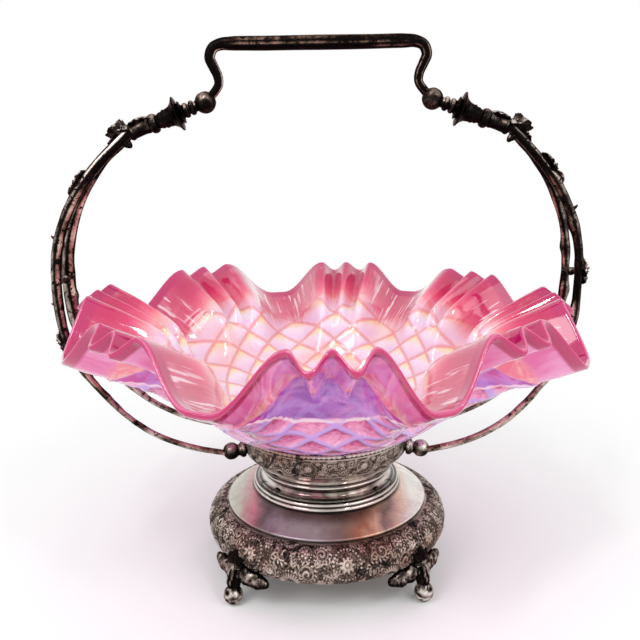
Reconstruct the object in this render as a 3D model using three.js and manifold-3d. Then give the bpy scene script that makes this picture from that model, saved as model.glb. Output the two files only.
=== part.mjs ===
// A brides basket: a ruffled art-glass bowl in a silver-plated stand with a tall branch handle.
// Millimetres, +Z up, the origin on the table under the middle of the stand, the front towards -Y.
import * as THREE from 'three';
import { mergeVertices } from 'three/addons/utils/BufferGeometryUtils.js';
import Module from 'manifold-3d';

const manifold = await Module();
manifold.setup();

// Shared fits
const gap = 0.3; // between neighbouring pieces
const turnSteps = 32; // steps round a large turned piece
const smallTurnSteps = 12; // steps round a small turned piece

// Foot: an embossed band that stands on four cast feet
const footClearance = 20.2; // table to the band's lower edge
const bandRimRadius = 65.7;
const bandWidestRadius = 70.6;
const bandWidestHeight = 8.2; // above the band's lower edge
const bandHeight = 18.9;
const bandWall = 1.6;
const bandLedge = 4; // how far the band's top reaches in under the shoulder

// Polished shoulder, ring moulding and neck, one above the other
const shoulderRadius = 58.7;
const shoulderRise = 8.6;
const shoulderWall = 1.6;
const ringRadius = 43.6;
const ringHeight = 4.4;
const ringWall = 5;
const neckWaistRadius = 36.8;
const neckBeadRadius = 39.4;
const neckHeight = 16.7;
const neckWall = 1.6;

// Gallery: the embossed cup that carries the bowl on a beaded rim
const galleryFootRadius = 46.6;
const galleryBellyRadius = 49;
const galleryRimRadius = 49.8;
const galleryHeight = 12;
const galleryWall = 1.5;
const beadThickness = 2.8;

// Glass bowl: heights are above the middle of the glass at the bowl's bottom
const glassThickness = 3.2;
const bowlFlatRadius = 30;
const bodyRadius = 66; // where the ruffle starts
const bodyHeight = 16;
const crestRadius = 129;
const crestHeight = 81;
const dipRadius = 136.5;
const dipHeight = 74;
const valleyRadius = 138;
const valleyHeight = 56;
const lipRound = 1.2; // how far the fire-polished edge bulges
const bodyLine = [[0, 0], [bowlFlatRadius, 1], [50, 7.3], [bodyRadius, bodyHeight]];
const crestLine = [[76, 29], [83, 44], [91, 59], [108, 70], [crestRadius, crestHeight]];
const dipLine = [[77, 28], [87, 40], [98, 51], [116, 63.5], [dipRadius, dipHeight]];
const valleyLine = [[80, 25.5], [95, 35.5], [110, 43.5], [125, 49.5], [valleyRadius, valleyHeight]];

// Each lobe is crimped by hand, so the lobes, from the front one anticlockwise, are a little uneven
const crimpSpread = 8; // degrees between a lobe's middle crest and its outer ones
const lobeTurn = [1, -3, -4, -7, -8, -5, -3, -2]; // degrees off an even eighth
const lobeReach = [-1, -1, -1, -1, 0, 1, 1, -1];
const lobeRise = [1.5, 1, -1, -2.5, -2, 0.5, 2, 0.5];
const valleyTurn = [-3, -3, -2, -4, -9, -2, -5, 1];
const valleyReach = [-1, 4, 0, 1, 0, 0, 3, -1];
const valleyRise = [0.5, -0.5, 0, 1, 0, 0, 1, 1];
const valleyFlat = 1.12; // above 1 the valleys between the lobes are flat-bottomed
const crimpSteps = 6; // mesh steps from one crest to the next
const flankSteps = 4; // mesh steps from an outer crest to the valley
const ruffleRows = 6; // mesh rows up the ruffle

// Feet: ball toe, stem, two leaf wings and a leaf that lies on the band
const footCircle = 73.5; // radius of the circle that the toes stand on
const toeRadius = 5.4;
const toeFlat = 0.45; // how much of the ball is worn flat
const stemThickness = 7.4;
const bracketWidth = 15;
const bracketHeight = 17;
const wingLength = 17;
const wingHeight = 15;
const wingThickness = 7;
const wingTurn = 8.5; // degrees round the band from the foot's middle to a wing's middle
const scrollTurn = 16.5; // degrees round the band to the scroll at a wing's end
const scrollSize = 9;
const footLeafHeight = 15;
const footLeafWidth = 11;
const footLeafThickness = 4.6; // sunk for the most part into the band's room

// Bosses: the balls that hold the wires' lower ends to the gallery
const bossTurn = 19.5; // degrees from the side towards the front or the back
const bossHeight = 5; // above the gallery's lower edge
const bossReach = 57; // radius of the ball's centre
const bossBallRadius = 4.9;
const bossNeckRadius = 2.6;

// Handle wires
const wireLean = 2.5; // how far the handle has been bent towards -X at its widest
const gripLean = 0.8; // and at the grip
const wireRadius = 2.2;
const handleHalfWidth = 142.3;
const widestHeight = 172;
const wireSpread = 12.6; // half the distance between the front and back wires at the widest
const wireSides = 6;
const wireSteps = 28;
const lowerBend = [ // how far out and up the wire is, from its boss to its widest place
  [0.14, 0.015], [0.325, 0.067], [0.476, 0.128], [0.574, 0.185], [0.67, 0.26], [0.766, 0.364],
  [0.856, 0.45], [0.922, 0.532], [0.974, 0.651], [0.99, 0.826],
];
const upperBend = [ // how far in and up the wire is, from its widest place to the sleeve
  [0.018, 0.133], [0.055, 0.27], [0.143, 0.405], [0.264, 0.54], [0.41, 0.672], [0.598, 0.79],
  [0.774, 0.867],
];
const braceRadius = 1.4;

// Turned fittings that join the wires to the grip bar, strung on one slanting axis a side
const gripHeight = 295.6; // table to the grip bar's centre line
const gripThickness = 6.2;
const gripHalfLength = 57.2; // to the centre line of the bar's upright ends
const gripSides = 8;
const gripSteps = 32;
const gripCorner = 4.4; // how far the rounded corners reach
const gripWaist = 4.4; // how far the bar's ends draw in above the fitting balls
const ballSpan = 60.7; // middle of the handle to a fitting ball
const ballDrop = 29.3; // grip centre line to a fitting ball
const fittingTilt = 20; // degrees
const fittingBallRadius = 5.8;
const spoolLength = 6.5;
const spoolRadius = 4.3;
const coreRadius = 3.4; // of the necks between the spool's and the disc's turned rings
const discLength = 6.4;
const discRadius = 9.5;
const ribbedLength = 7.7;
const ribbedRadius = 5.3;
const knobLength = 4.8;
const knobRadius = 6;
const sleeveLength = 11.6;
const sleeveRadius = 4.8;

// Roses over the sleeves, leaves and buds on the wires
const roseRadius = 7;
const roseLift = 6.6; // from the wires' centre line to the rose's middle
const petalCount = 5;
const roseBack = 4; // from the wires' upper ends to the rose's middle
const roseTilt = 22; // degrees steeper than the fittings' axis, as the wires bend down there
const roseLeafLength = 13;
const roseLeafWidth = 8;
const leafThickness = 1.5;
const budRadius = 2.6;
const leaves = [ // where along the wire, and how long and wide each one is
  { name: 'leaf_left_upper', side: -1, along: 0.84, length: 15, width: 8 },
  { name: 'leaf_left_lower', side: -1, along: 0.47, length: 11, width: 7 },
  { name: 'leaf_right_upper', side: 1, along: 0.86, length: 18, width: 7 },
  { name: 'leaf_right_lower', side: 1, along: 0.61, length: 13, width: 8 },
];

// Heights that follow from the stack of pieces
const bandTop = footClearance + bandHeight;
const shoulderBottom = bandTop + gap;
const ringBottom = shoulderBottom + shoulderRise + gap;
const neckBottom = ringBottom + ringHeight + gap;
const galleryBottom = neckBottom + neckHeight + gap;
const galleryTop = galleryBottom + galleryHeight;
const beadHeight = galleryTop + gap + beadThickness / 2;
const bossZ = galleryBottom + bossHeight;
const ballZ = gripHeight - ballDrop;

// Colours as they show on the piece
const darkSilver = { color: 0x3a302d, metalness: 0.9, roughness: 0.34 };
const embossedSilver = { color: 0x8d827c, metalness: 0.9, roughness: 0.42 };
const polishedSilver = { color: 0xb9b2aa, metalness: 1, roughness: 0.16 };
const cranberryGlass = { color: 0xd85a8c, metalness: 0, roughness: 0.08, transparent: true, opacity: 0.8 };

const basket = new THREE.Group();
const radians = THREE.MathUtils.degToRad;

function addPiece(name, geometry, finish) {
  const mesh = new THREE.Mesh(geometry, new THREE.MeshStandardMaterial(finish));
  mesh.name = name;
  basket.add(mesh);
  return mesh;
}

// A closed mesh as a solid that can be joined and cut
function toSolid(geometry) {
  const bare = geometry.clone();
  bare.deleteAttribute('normal');
  bare.deleteAttribute('uv');
  const merged = mergeVertices(bare, 1e-4);
  return new manifold.Manifold(new manifold.Mesh({
    numProp: 3,
    vertProperties: new Float32Array(merged.attributes.position.array),
    triVerts: new Uint32Array(merged.index.array),
  }));
}

function toGeometry(solid) {
  const mesh = solid.getMesh();
  const geometry = new THREE.BufferGeometry();
  geometry.setAttribute('position', new THREE.BufferAttribute(mesh.vertProperties, 3));
  geometry.setIndex(new THREE.BufferAttribute(mesh.triVerts, 1));
  geometry.computeVertexNormals();
  return geometry;
}

function joined(geometries) {
  return geometries.map(toSolid).reduce((whole, part) => whole.add(part));
}

// A profile of [radius, height] points turned about the Z axis
function turned(profile, steps) {
  const points = profile.map(([radius, height]) => new THREE.Vector2(radius, height));
  return new THREE.LatheGeometry(points, steps).rotateX(Math.PI / 2);
}

function closedLoop(profile) {
  return [...profile, profile[0]];
}

// A line moved sideways by a wall, towards its left
function offsetLine(line, distance) {
  return line.map((point, i) => {
    const before = line[Math.max(i - 1, 0)];
    const after = line[Math.min(i + 1, line.length - 1)];
    const run = new THREE.Vector2(after[0] - before[0], after[1] - before[1]).normalize();
    return [point[0] - run.y * distance, point[1] + run.x * distance];
  });
}

// A turned sheet-metal shell whose outside is the given line, listed upwards
function turnedShell(outside, wall, steps) {
  const low = outside[0][1];
  const high = outside[outside.length - 1][1];
  const inside = offsetLine(outside, wall)
    .filter((_, i) => i % 3 === 0 || i === outside.length - 1)
    .map(([radius, height]) => [radius, THREE.MathUtils.clamp(height, low, high)]);
  return turned(closedLoop([...outside, ...inside.reverse()]), steps);
}

// A quarter of an ellipse between two points, which leaves the first one level
function quarterRound(from, to, steps, levelFirst) {
  const line = [];
  for (let i = 0; i <= steps; i += 1) {
    const angle = (i / steps) * (Math.PI / 2);
    const across = levelFirst ? Math.sin(angle) : 1 - Math.cos(angle);
    const along = levelFirst ? 1 - Math.cos(angle) : Math.sin(angle);
    line.push([from[0] + (to[0] - from[0]) * across, from[1] + (to[1] - from[1]) * along]);
  }
  return line;
}

function ball(radii, position, rotation = [0, 0, 0], detail = 7) {
  const geometry = new THREE.SphereGeometry(1, detail, Math.round(detail * 0.7));
  geometry.scale(...radii);
  geometry.applyMatrix4(new THREE.Matrix4().makeRotationFromEuler(new THREE.Euler(...rotation)));
  return geometry.translate(...position);
}

// Foot band
function bandOutside() {
  const rim = [bandRimRadius, footClearance];
  const widest = [bandWidestRadius, footClearance + bandWidestHeight];
  const top = [shoulderRadius, bandTop];
  const upper = quarterRound(widest, top, 5, false).slice(1);
  const ledge = [shoulderRadius - bandLedge, bandTop];
  return [...quarterRound(rim, widest, 3, true), ...upper, ledge];
}

// Polished shoulder: a slightly hollow slope with an upright edge
function shoulderShell() {
  const top = shoulderBottom + shoulderRise;
  const innerRadius = ringRadius - ringWall / 2;
  const edge = shoulderBottom + shoulderWall;
  const middle = [(shoulderRadius + ringRadius) / 2, (edge + top) / 2 - 0.5];
  const slope = [[shoulderRadius, edge], middle, [ringRadius, top - 0.4], [innerRadius, top]];
  const under = slope.map(([radius, height]) => [radius, height - shoulderWall]).reverse();
  return turned(closedLoop([...slope, ...under]), turnSteps);
}

// Double ring moulding between the shoulder and the neck
function ringMoulding() {
  const low = ringBottom;
  const high = ringBottom + ringHeight;
  const lowerRing = low + ringHeight * 0.27;
  const groove = low + ringHeight * 0.56;
  const upperRing = low + ringHeight * 0.78;
  const profile = [
    [ringRadius - 0.8, low], [ringRadius, lowerRing], [ringRadius - 1, groove],
    [ringRadius - 0.9, upperRing], [ringRadius - 2, high],
    [ringRadius - ringWall, high], [ringRadius - ringWall, low],
  ];
  return turned(closedLoop(profile), turnSteps);
}

// Neck: a waist above the ring moulding, a bead, and a flare under the gallery
function neckShell() {
  const at = (share) => neckBottom + neckHeight * share;
  const outside = [
    [ringRadius - 3, at(0)], [neckWaistRadius + 0.8, at(0.1)], [neckWaistRadius, at(0.22)],
    [neckWaistRadius + 0.8, at(0.34)], [neckBeadRadius - 0.6, at(0.39)], [neckBeadRadius, at(0.43)],
    [neckBeadRadius - 0.5, at(0.48)], [neckBeadRadius, at(0.58)], [galleryFootRadius - 3.4, at(0.78)],
    [galleryFootRadius - 0.6, at(1)],
  ];
  return turnedShell(outside, neckWall, turnSteps);
}

// Gallery: a cup with a floor
function galleryOutside() {
  const at = (share) => galleryBottom + galleryHeight * share;
  const belly = (galleryFootRadius + galleryBellyRadius) / 2 + 0.5;
  return [
    [galleryFootRadius, at(0)], [belly, at(0.22)], [galleryBellyRadius, at(0.55)],
    [galleryRimRadius, at(1)],
  ];
}

function galleryCup() {
  const outside = galleryOutside();
  const inside = outside.slice(1).map(([radius, height]) => [radius - galleryWall, height]).reverse();
  const floor = galleryBottom + galleryWall;
  return turned([
    [0, galleryBottom], ...outside, ...inside, [galleryFootRadius - galleryWall, floor], [0, floor],
  ], turnSteps);
}

function galleryRadiusAt(height) {
  const outside = galleryOutside();
  const above = Math.max(outside.findIndex(([, z]) => z >= height), 1);
  const [lowRadius, lowZ] = outside[above - 1];
  const [highRadius, highZ] = outside[above];
  return lowRadius + ((highRadius - lowRadius) * (height - lowZ)) / (highZ - lowZ);
}

// Bowl. A column is one meridian of the ruffle: its angle, how much of it belongs to a lobe rather
// than to a valley, how much to a crest rather than to a dip, and how far it reaches and rises.
function lobeAngle(lobe) {
  return -90 + 45 * lobe + lobeTurn[(lobe + 8) % 8];
}

function valleyAngle(lobe) {
  return -90 + 45 * lobe + 22.5 + valleyTurn[(lobe + 8) % 8];
}

function flankColumn(lobe, valley, share) {
  const outerCrest = lobeAngle(lobe) + crimpSpread * Math.sign(valleyAngle(valley) - lobeAngle(lobe));
  const fall = Math.min(share * valleyFlat, 1);
  const belongs = (1 + Math.cos(Math.PI * fall)) / 2;
  const mark = (valley + 8) % 8;
  return {
    angle: outerCrest + (valleyAngle(valley) - outerCrest) * share,
    lobe: belongs,
    crest: 1,
    reach: lobeReach[lobe] * belongs + valleyReach[mark] * (1 - belongs),
    rise: lobeRise[lobe] * belongs + valleyRise[mark] * (1 - belongs),
  };
}

function crimpColumn(lobe, share) {
  return {
    angle: lobeAngle(lobe) + crimpSpread * share,
    lobe: 1,
    crest: (1 + Math.cos(2 * Math.PI * share)) / 2,
    reach: lobeReach[lobe],
    rise: lobeRise[lobe],
  };
}

function ruffleColumns() {
  const columns = [];
  for (let lobe = 0; lobe < 8; lobe += 1) {
    for (let i = flankSteps; i > 0; i -= 1) columns.push(flankColumn(lobe, lobe - 1, i / flankSteps));
    for (let i = -crimpSteps; i <= crimpSteps; i += 1) columns.push(crimpColumn(lobe, i / crimpSteps));
    for (let i = 1; i < flankSteps; i += 1) columns.push(flankColumn(lobe, lobe, i / flankSteps));
  }
  return columns;
}

function smoothLine(points) {
  return new THREE.SplineCurve(points.map(([radius, height]) => new THREE.Vector2(radius, height)));
}

const crestCurve = smoothLine([...bodyLine, ...crestLine]);
const dipCurve = smoothLine([...bodyLine, ...dipLine]);
const valleyCurve = smoothLine([...bodyLine, ...valleyLine]);
const ruffleStart = (bodyLine.length - 1) / (bodyLine.length + crestLine.length - 1);

// The middle of the glass on one column, at a share of the way from the bowl's centre to its edge
function glassMiddle(column, share) {
  const lobe = crestCurve.getPoint(share).multiplyScalar(column.crest)
    .add(dipCurve.getPoint(share).multiplyScalar(1 - column.crest));
  const point = lobe.multiplyScalar(column.lobe)
    .add(valleyCurve.getPoint(share).multiplyScalar(1 - column.lobe));
  const outward = Math.max(share - ruffleStart, 0) / (1 - ruffleStart);
  point.x += column.reach * outward;
  point.y += column.rise * outward;
  return point;
}

function glassNormal(column, share) {
  const step = 0.01;
  const before = glassMiddle(column, Math.max(share - step, 0));
  const after = glassMiddle(column, Math.min(share + step, 1));
  const run = after.sub(before).normalize();
  return new THREE.Vector2(-run.y, run.x);
}

// Top face is side 1, underside is side -1
function glassFace(column, share, side) {
  const shift = glassNormal(column, share).multiplyScalar((side * glassThickness) / 2);
  return glassMiddle(column, share).add(shift);
}

function rowShares() {
  const shares = [];
  for (let i = 1; i < bodyLine.length; i += 1) shares.push((ruffleStart * i) / (bodyLine.length - 1));
  for (let i = 1; i <= ruffleRows; i += 1) shares.push(ruffleStart + ((1 - ruffleStart) * i) / ruffleRows);
  return shares;
}

// How high the bowl's bottom stands so that its underside rests on the gallery's bead
function bowlSeatHeight() {
  const round = { lobe: 0, crest: 0, reach: 0, rise: 0 };
  const contact = beadThickness / 2 + gap;
  let seat = 0;
  for (let share = 0.1; share < ruffleStart; share += 0.002) {
    const under = glassFace(round, share, -1);
    const off = Math.abs(under.x - galleryRimRadius);
    if (off < contact) seat = Math.max(seat, beadHeight + Math.sqrt(contact ** 2 - off ** 2) - under.y);
  }
  return seat;
}

function bowlGeometry() {
  const seat = bowlSeatHeight();
  const columns = ruffleColumns();
  const shares = rowShares();
  const positions = [];
  const faces = [];
  const addPoint = (column, flat) => {
    const angle = radians(column.angle);
    positions.push(flat.x * Math.cos(angle), flat.x * Math.sin(angle), flat.y + seat);
  };
  const rings = [
    ...shares.map((share) => [share, -1]),
    [1, 0],
    ...shares.map((share) => [share, 1]).reverse(),
  ];
  rings.forEach(([share, side]) => columns.forEach((column) => {
    const flat = side === 0 ? glassMiddle(column, 1) : glassFace(column, share, side);
    if (side === 0) {
      const normal = glassNormal(column, 1);
      flat.add(new THREE.Vector2(normal.y, -normal.x).multiplyScalar(lipRound));
    }
    addPoint(column, flat);
  }));
  const count = columns.length;
  for (let ring = 0; ring + 1 < rings.length; ring += 1) {
    for (let i = 0; i < count; i += 1) {
      const a = ring * count + i;
      const b = ring * count + ((i + 1) % count);
      faces.push(a, b, b + count, a, b + count, a + count);
    }
  }
  const lowPole = positions.length / 3;
  positions.push(0, 0, seat - glassThickness / 2, 0, 0, seat + glassThickness / 2);
  const lastRing = (rings.length - 1) * count;
  for (let i = 0; i < count; i += 1) {
    const next = (i + 1) % count;
    faces.push(lowPole, next, i, lowPole + 1, lastRing + i, lastRing + next);
  }
  const geometry = new THREE.BufferGeometry();
  geometry.setAttribute('position', new THREE.Float32BufferAttribute(positions, 3));
  geometry.setIndex(faces);
  geometry.computeVertexNormals();
  return geometry;
}

// One foot, made on the +X side and turned to its corner. It is cut back from the band.
function footGeometry(turn) {
  const lean = Math.atan2(footCircle - bandRimRadius - wingThickness / 2, footClearance - toeRadius);
  const stemLength = footClearance - toeRadius;
  const stem = turned([
    [0, 0], [stemThickness / 2, 0], [stemThickness / 2, stemLength * 0.4],
    [stemThickness * 0.63, stemLength], [0, stemLength],
  ], 10).rotateY(-lean).translate(footCircle - toeFlat, 0, toeRadius);
  const rimX = bandRimRadius + wingThickness * 0.09;
  const bracket = ball(
    [wingThickness * 0.6, bracketWidth / 2, bracketHeight / 2],
    [rimX + wingThickness * 0.17, 0, footClearance - bracketHeight * 0.21],
  );
  const wing = (side) => ball(
    [wingThickness / 2, wingLength / 2, wingHeight / 2],
    [rimX, 0, footClearance - wingHeight * 0.18],
    [side * 0.12, 0, 0],
  ).rotateZ(side * radians(wingTurn));
  const scroll = (side) => ball(
    [wingThickness * 0.42, scrollSize / 2, scrollSize / 2],
    [rimX - wingThickness * 0.11, 0, footClearance - scrollSize * 0.53],
    [0, 0, 0],
    6,
  ).rotateZ(side * radians(scrollTurn));
  const leafX = bandWidestRadius - footLeafThickness * 0.3;
  const leafZ = footClearance + footLeafHeight * 0.23;
  const leaf = (spread) => ball(
    [footLeafThickness / 2, footLeafWidth / 4.2, footLeafHeight / 2],
    [
      leafX - Math.abs(spread) * footLeafThickness * 0.17, spread * footLeafWidth * 0.26,
      leafZ - Math.abs(spread) * footLeafHeight * 0.13,
    ],
    [-spread * 0.5, -0.12, 0],
    6,
  );
  const toe = ball([toeRadius, toeRadius, toeRadius], [footCircle, 0, toeRadius - toeFlat], [0, 0, 0], 11);
  const whole = joined([
    toe, stem, bracket, wing(-1), wing(1), scroll(-1), scroll(1), leaf(-1), leaf(0), leaf(1),
  ]);
  const bandRoom = offsetLine(bandOutside(), -gap * 1.5).filter(([radius]) => radius > 0);
  const top = bandRoom[bandRoom.length - 1][1];
  const room = toSolid(turned([[0, bandRoom[0][1]], ...bandRoom, [0, top]], turnSteps));
  const floor = toSolid(new THREE.BoxGeometry(4 * footCircle, 4 * footCircle, toeRadius).translate(0, 0, -toeRadius / 2));
  return toGeometry(whole.subtract(room).subtract(floor)).rotateZ(turn);
}

// Boss: a tapered neck from the gallery's wall and a ball, made on the +X side
function bossGeometry(turn) {
  const wall = galleryRadiusAt(bossZ + bossNeckRadius) + gap * 2;
  const neckLength = bossReach - wall;
  const neck = turned([
    [0, 0], [bossNeckRadius * 1.4, 0], [bossNeckRadius, neckLength * 0.5],
    [bossNeckRadius * 1.1, neckLength], [0, neckLength],
  ], 8).rotateY(Math.PI / 2).translate(wall, 0, bossZ);
  const sphere = ball([bossBallRadius, bossBallRadius, bossBallRadius], [bossReach, 0, bossZ], [0, 0, 0], 12);
  return toGeometry(joined([neck, sphere])).rotateZ(turn);
}

// The slanting axis of a side's top fittings, at a distance outwards from the ball's centre
function fittingPoint(distance) {
  const tilt = radians(fittingTilt);
  return new THREE.Vector3(ballSpan + Math.cos(tilt) * distance, 0, ballZ - Math.sin(tilt) * distance);
}

function fittingGeometry(profile, start, side) {
  const base = fittingPoint(start);
  const geometry = turned(profile, smallTurnSteps)
    .rotateY(Math.PI / 2 + radians(fittingTilt))
    .translate(base.x, base.y, base.z)
    .rotateZ(side > 0 ? 0 : Math.PI);
  return geometry.translate(-gripLean, 0, 0);
}

// A turned fitting from [share of its length, radius] points
function fittingProfile(length, points) {
  return [[0, 0], ...points.map(([share, radius]) => [radius, share * length]), [0, length]];
}

const spoolStart = fittingBallRadius + gap;
const discStart = spoolStart + spoolLength + gap;
const ribbedStart = discStart + discLength + gap;
const knobStart = ribbedStart + ribbedLength + gap;
const sleeveStart = knobStart + knobLength + gap;
const sleeveEnd = sleeveStart + sleeveLength;

const fittings = [
  {
    name: 'spool', start: spoolStart, length: spoolLength,
    points: [
      [0, coreRadius], [0.18, spoolRadius], [0.36, coreRadius], [0.55, spoolRadius], [0.75, coreRadius],
      [1, coreRadius],
    ],
  },
  {
    name: 'disc', start: discStart, length: discLength,
    points: [
      [0, coreRadius], [0.3, discRadius * 0.55], [0.6, discRadius], [0.68, discRadius], [0.76, discRadius * 0.63],
      [1, ribbedRadius * 0.87],
    ],
  },
  {
    name: 'ribbed_spool', start: ribbedStart, length: ribbedLength,
    points: [
      [0, ribbedRadius * 0.89], [0.14, ribbedRadius], [0.3, ribbedRadius * 0.87], [0.46, ribbedRadius * 0.96],
      [0.62, ribbedRadius * 0.83], [0.8, ribbedRadius * 0.9], [1, ribbedRadius * 0.8],
    ],
  },
  {
    name: 'knob', start: knobStart, length: knobLength,
    points: [
      [0, knobRadius * 0.68], [0.2, knobRadius * 0.87], [0.5, knobRadius], [0.8, knobRadius * 0.88],
      [1, knobRadius * 0.72],
    ],
  },
  {
    name: 'sleeve', start: sleeveStart, length: sleeveLength,
    points: [
      [0, sleeveRadius * 0.88], [0.12, sleeveRadius * 0.81], [0.8, sleeveRadius * 0.88], [1, sleeveRadius],
    ],
  },
];

// A wire's centre line, from its boss to the sleeve, for side 1 or -1 in X and face 1 or -1 in Y
function wireCurve(side, face) {
  const turn = radians(bossTurn);
  const start = bossReach + bossBallRadius + gap;
  const startOut = start * Math.cos(turn);
  const startSpread = start * Math.sin(turn);
  const end = fittingPoint(sleeveEnd + gap);
  const run = fittingPoint(sleeveEnd + gap + wireRadius * 1.4);
  const endSpread = wireRadius + gap;
  const points = [];
  const addPoint = (out, spread, height, lean) => {
    points.push(new THREE.Vector3(side * out + lean, face * spread, height));
  };
  addPoint(startOut, startSpread, bossZ, 0);
  lowerBend.forEach(([out, up]) => addPoint(
    startOut + (handleHalfWidth - startOut) * out,
    startSpread + (wireSpread - startSpread) * out ** 2.5,
    bossZ + (widestHeight - bossZ) * up,
    -wireLean * out,
  ));
  addPoint(handleHalfWidth, wireSpread, widestHeight, -wireLean);
  upperBend.forEach(([across, up]) => addPoint(
    handleHalfWidth + (end.x - handleHalfWidth) * across,
    wireSpread + (endSpread - wireSpread) * up ** 2,
    widestHeight + (end.z - widestHeight) * up,
    (wireLean - gripLean) * up - wireLean,
  ));
  addPoint(run.x, endSpread, run.z, -gripLean);
  addPoint(end.x, endSpread, end.z, -gripLean);
  return new THREE.CatmullRomCurve3(points);
}

function circleShape(radius, sides) {
  const corners = [];
  for (let i = 0; i < sides; i += 1) {
    const angle = (i / sides) * Math.PI * 2;
    corners.push(new THREE.Vector2(radius * Math.cos(angle), radius * Math.sin(angle)));
  }
  return new THREE.Shape(corners);
}

function rodAlong(curve, radius, sides, steps) {
  return new THREE.ExtrudeGeometry(circleShape(radius, sides), { steps, extrudePath: curve, bevelEnabled: false });
}

// Grip bar: level across the top, with an S-bend down to each fitting ball, which it meets square on
function gripCurve() {
  const seat = fittingBallRadius + gap;
  const onBall = (distance) => [ballSpan - distance * Math.SQRT1_2, ballZ + distance * Math.SQRT1_2];
  const half = [
    onBall(seat), onBall(seat + gripThickness * 0.26),
    [gripHalfLength - gripWaist, ballZ + ballDrop * 0.33],
    [gripHalfLength - gripWaist * 0.9, ballZ + ballDrop * 0.44],
    [gripHalfLength - gripWaist * 0.36, ballZ + ballDrop * 0.63],
    [gripHalfLength, gripHeight - gripCorner * 1.36],
    [gripHalfLength - gripCorner * 0.7, gripHeight - gripCorner * 0.18],
    [gripHalfLength - gripCorner * 2, gripHeight], [gripHalfLength / 2, gripHeight],
  ];
  const left = half.map(([x, z]) => new THREE.Vector3(-gripLean - x, 0, z));
  const right = half.map(([x, z]) => new THREE.Vector3(x - gripLean, 0, z)).reverse();
  return new THREE.CatmullRomCurve3([...left, ...right], false, 'centripetal');
}

// The direction square to a wire that points away from the middle of the handle's arch
function awayFromArch(seat, tangent) {
  const middle = new THREE.Vector3(0, seat.y, (bossZ + ballZ) / 2);
  const away = seat.clone().sub(middle);
  return away.addScaledVector(tangent, -away.dot(tangent)).normalize();
}

// Rose: a round bud in the middle of five petals, with a leaf back over the sleeve.
// It is cut to sit on both wires and on the sleeve.
function roseGeometry(side) {
  const steep = radians(fittingTilt + roseTilt);
  const along = new THREE.Vector3(side * Math.cos(steep), 0, -Math.sin(steep));
  const outward = new THREE.Vector3(side * Math.sin(steep), 0, Math.cos(steep));
  const end = fittingPoint(sleeveEnd + gap);
  const seat = new THREE.Vector3(side * end.x - gripLean, 0, end.z).addScaledVector(along, roseBack);
  const centre = seat.addScaledVector(outward, roseLift);
  const bud = roseRadius * 0.55;
  const parts = [ball([bud, bud, bud], centre.clone().addScaledVector(outward, roseRadius * 0.2).toArray())];
  for (let i = 0; i < petalCount; i += 1) {
    const angle = (i / petalCount) * Math.PI * 2 + 0.3;
    const position = centre.clone().addScaledVector(along, Math.cos(angle) * roseRadius * 0.56);
    position.y += Math.sin(angle) * roseRadius * 0.56;
    const petal = [roseRadius * 0.46, roseRadius * 0.46, roseRadius * 0.42];
    parts.push(ball(petal, position.toArray(), [0, -side * 0.8, 0], 6));
  }
  const tilt = side * radians(fittingTilt);
  const onSleeve = fittingPoint(sleeveEnd - roseLeafLength * 0.22);
  const leafCentre = [
    side * (onSleeve.x + Math.sin(radians(fittingTilt)) * sleeveRadius) - gripLean, 0,
    onSleeve.z + Math.cos(tilt) * sleeveRadius,
  ];
  parts.push(ball([roseLeafLength / 2, roseLeafWidth / 2, 2], leafCentre, [0, tilt, 0]));
  const room = [1, -1].map((face) => toSolid(rodAlong(wireCurve(side, face), wireRadius + gap, wireSides, wireSteps)));
  const sleeveRoom = fittingProfile(sleeveEnd + gap, [[0, sleeveRadius + gap], [1, sleeveRadius + gap]]);
  room.push(toSolid(fittingGeometry(sleeveRoom, 0, side)));
  const cut = room.reduce((rose, neighbour) => rose.subtract(neighbour), joined(parts));
  const bodies = cut.decompose().sort((a, b) => b.volume() - a.volume());
  return toGeometry(bodies[0]);
}

// Leaf: a pointed blade that lies on the outside of the front wire
function leafGeometry({ side, along, length, width }) {
  const curve = wireCurve(side, -1);
  const seat = curve.getPointAt(along);
  const tangent = curve.getTangentAt(along);
  const outward = awayFromArch(seat, tangent);
  const blade = new THREE.Shape();
  blade.moveTo(-length / 2, 0);
  blade.quadraticCurveTo(-length * 0.1, width * 0.9, length / 2, 0);
  blade.quadraticCurveTo(-length * 0.1, -width * 0.9, -length / 2, 0);
  const geometry = new THREE.ExtrudeGeometry(blade, { depth: leafThickness, bevelEnabled: false, curveSegments: 6 });
  const across = new THREE.Vector3().crossVectors(outward, tangent);
  geometry.applyMatrix4(new THREE.Matrix4().makeBasis(tangent, across, outward));
  return geometry.translate(...seat.addScaledVector(outward, wireRadius + gap * 1.5).toArray());
}

// Brace: a short rod with a bud in the middle, from the front wire to the back one
function braceGeometry(side) {
  const length = 2 * (wireSpread - wireRadius - gap);
  const rod = new THREE.CylinderGeometry(braceRadius, braceRadius, length, 8);
  const bud = ball([budRadius, budRadius * 1.2, budRadius], [0, 0, 0]);
  return toGeometry(joined([rod, bud])).translate(side * handleHalfWidth - wireLean, 0, widestHeight);
}

addPiece('glass_bowl', bowlGeometry(), cranberryGlass);
addPiece('foot_band', turnedShell(bandOutside(), bandWall, turnSteps), embossedSilver);
addPiece('shoulder', shoulderShell(), polishedSilver);
addPiece('ring_moulding', ringMoulding(), polishedSilver);
addPiece('neck', neckShell(), polishedSilver);
addPiece('gallery', galleryCup(), embossedSilver);
addPiece(
  'gallery_bead',
  new THREE.TorusGeometry(galleryRimRadius, beadThickness / 2, 6, turnSteps).translate(0, 0, beadHeight),
  embossedSilver,
);

const corners = [['front_left', 225], ['front_right', 315], ['back_right', 45], ['back_left', 135]];
corners.forEach(([corner, degrees]) => {
  addPiece(`foot_${corner}`, footGeometry(radians(degrees)), darkSilver);
});

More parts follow.
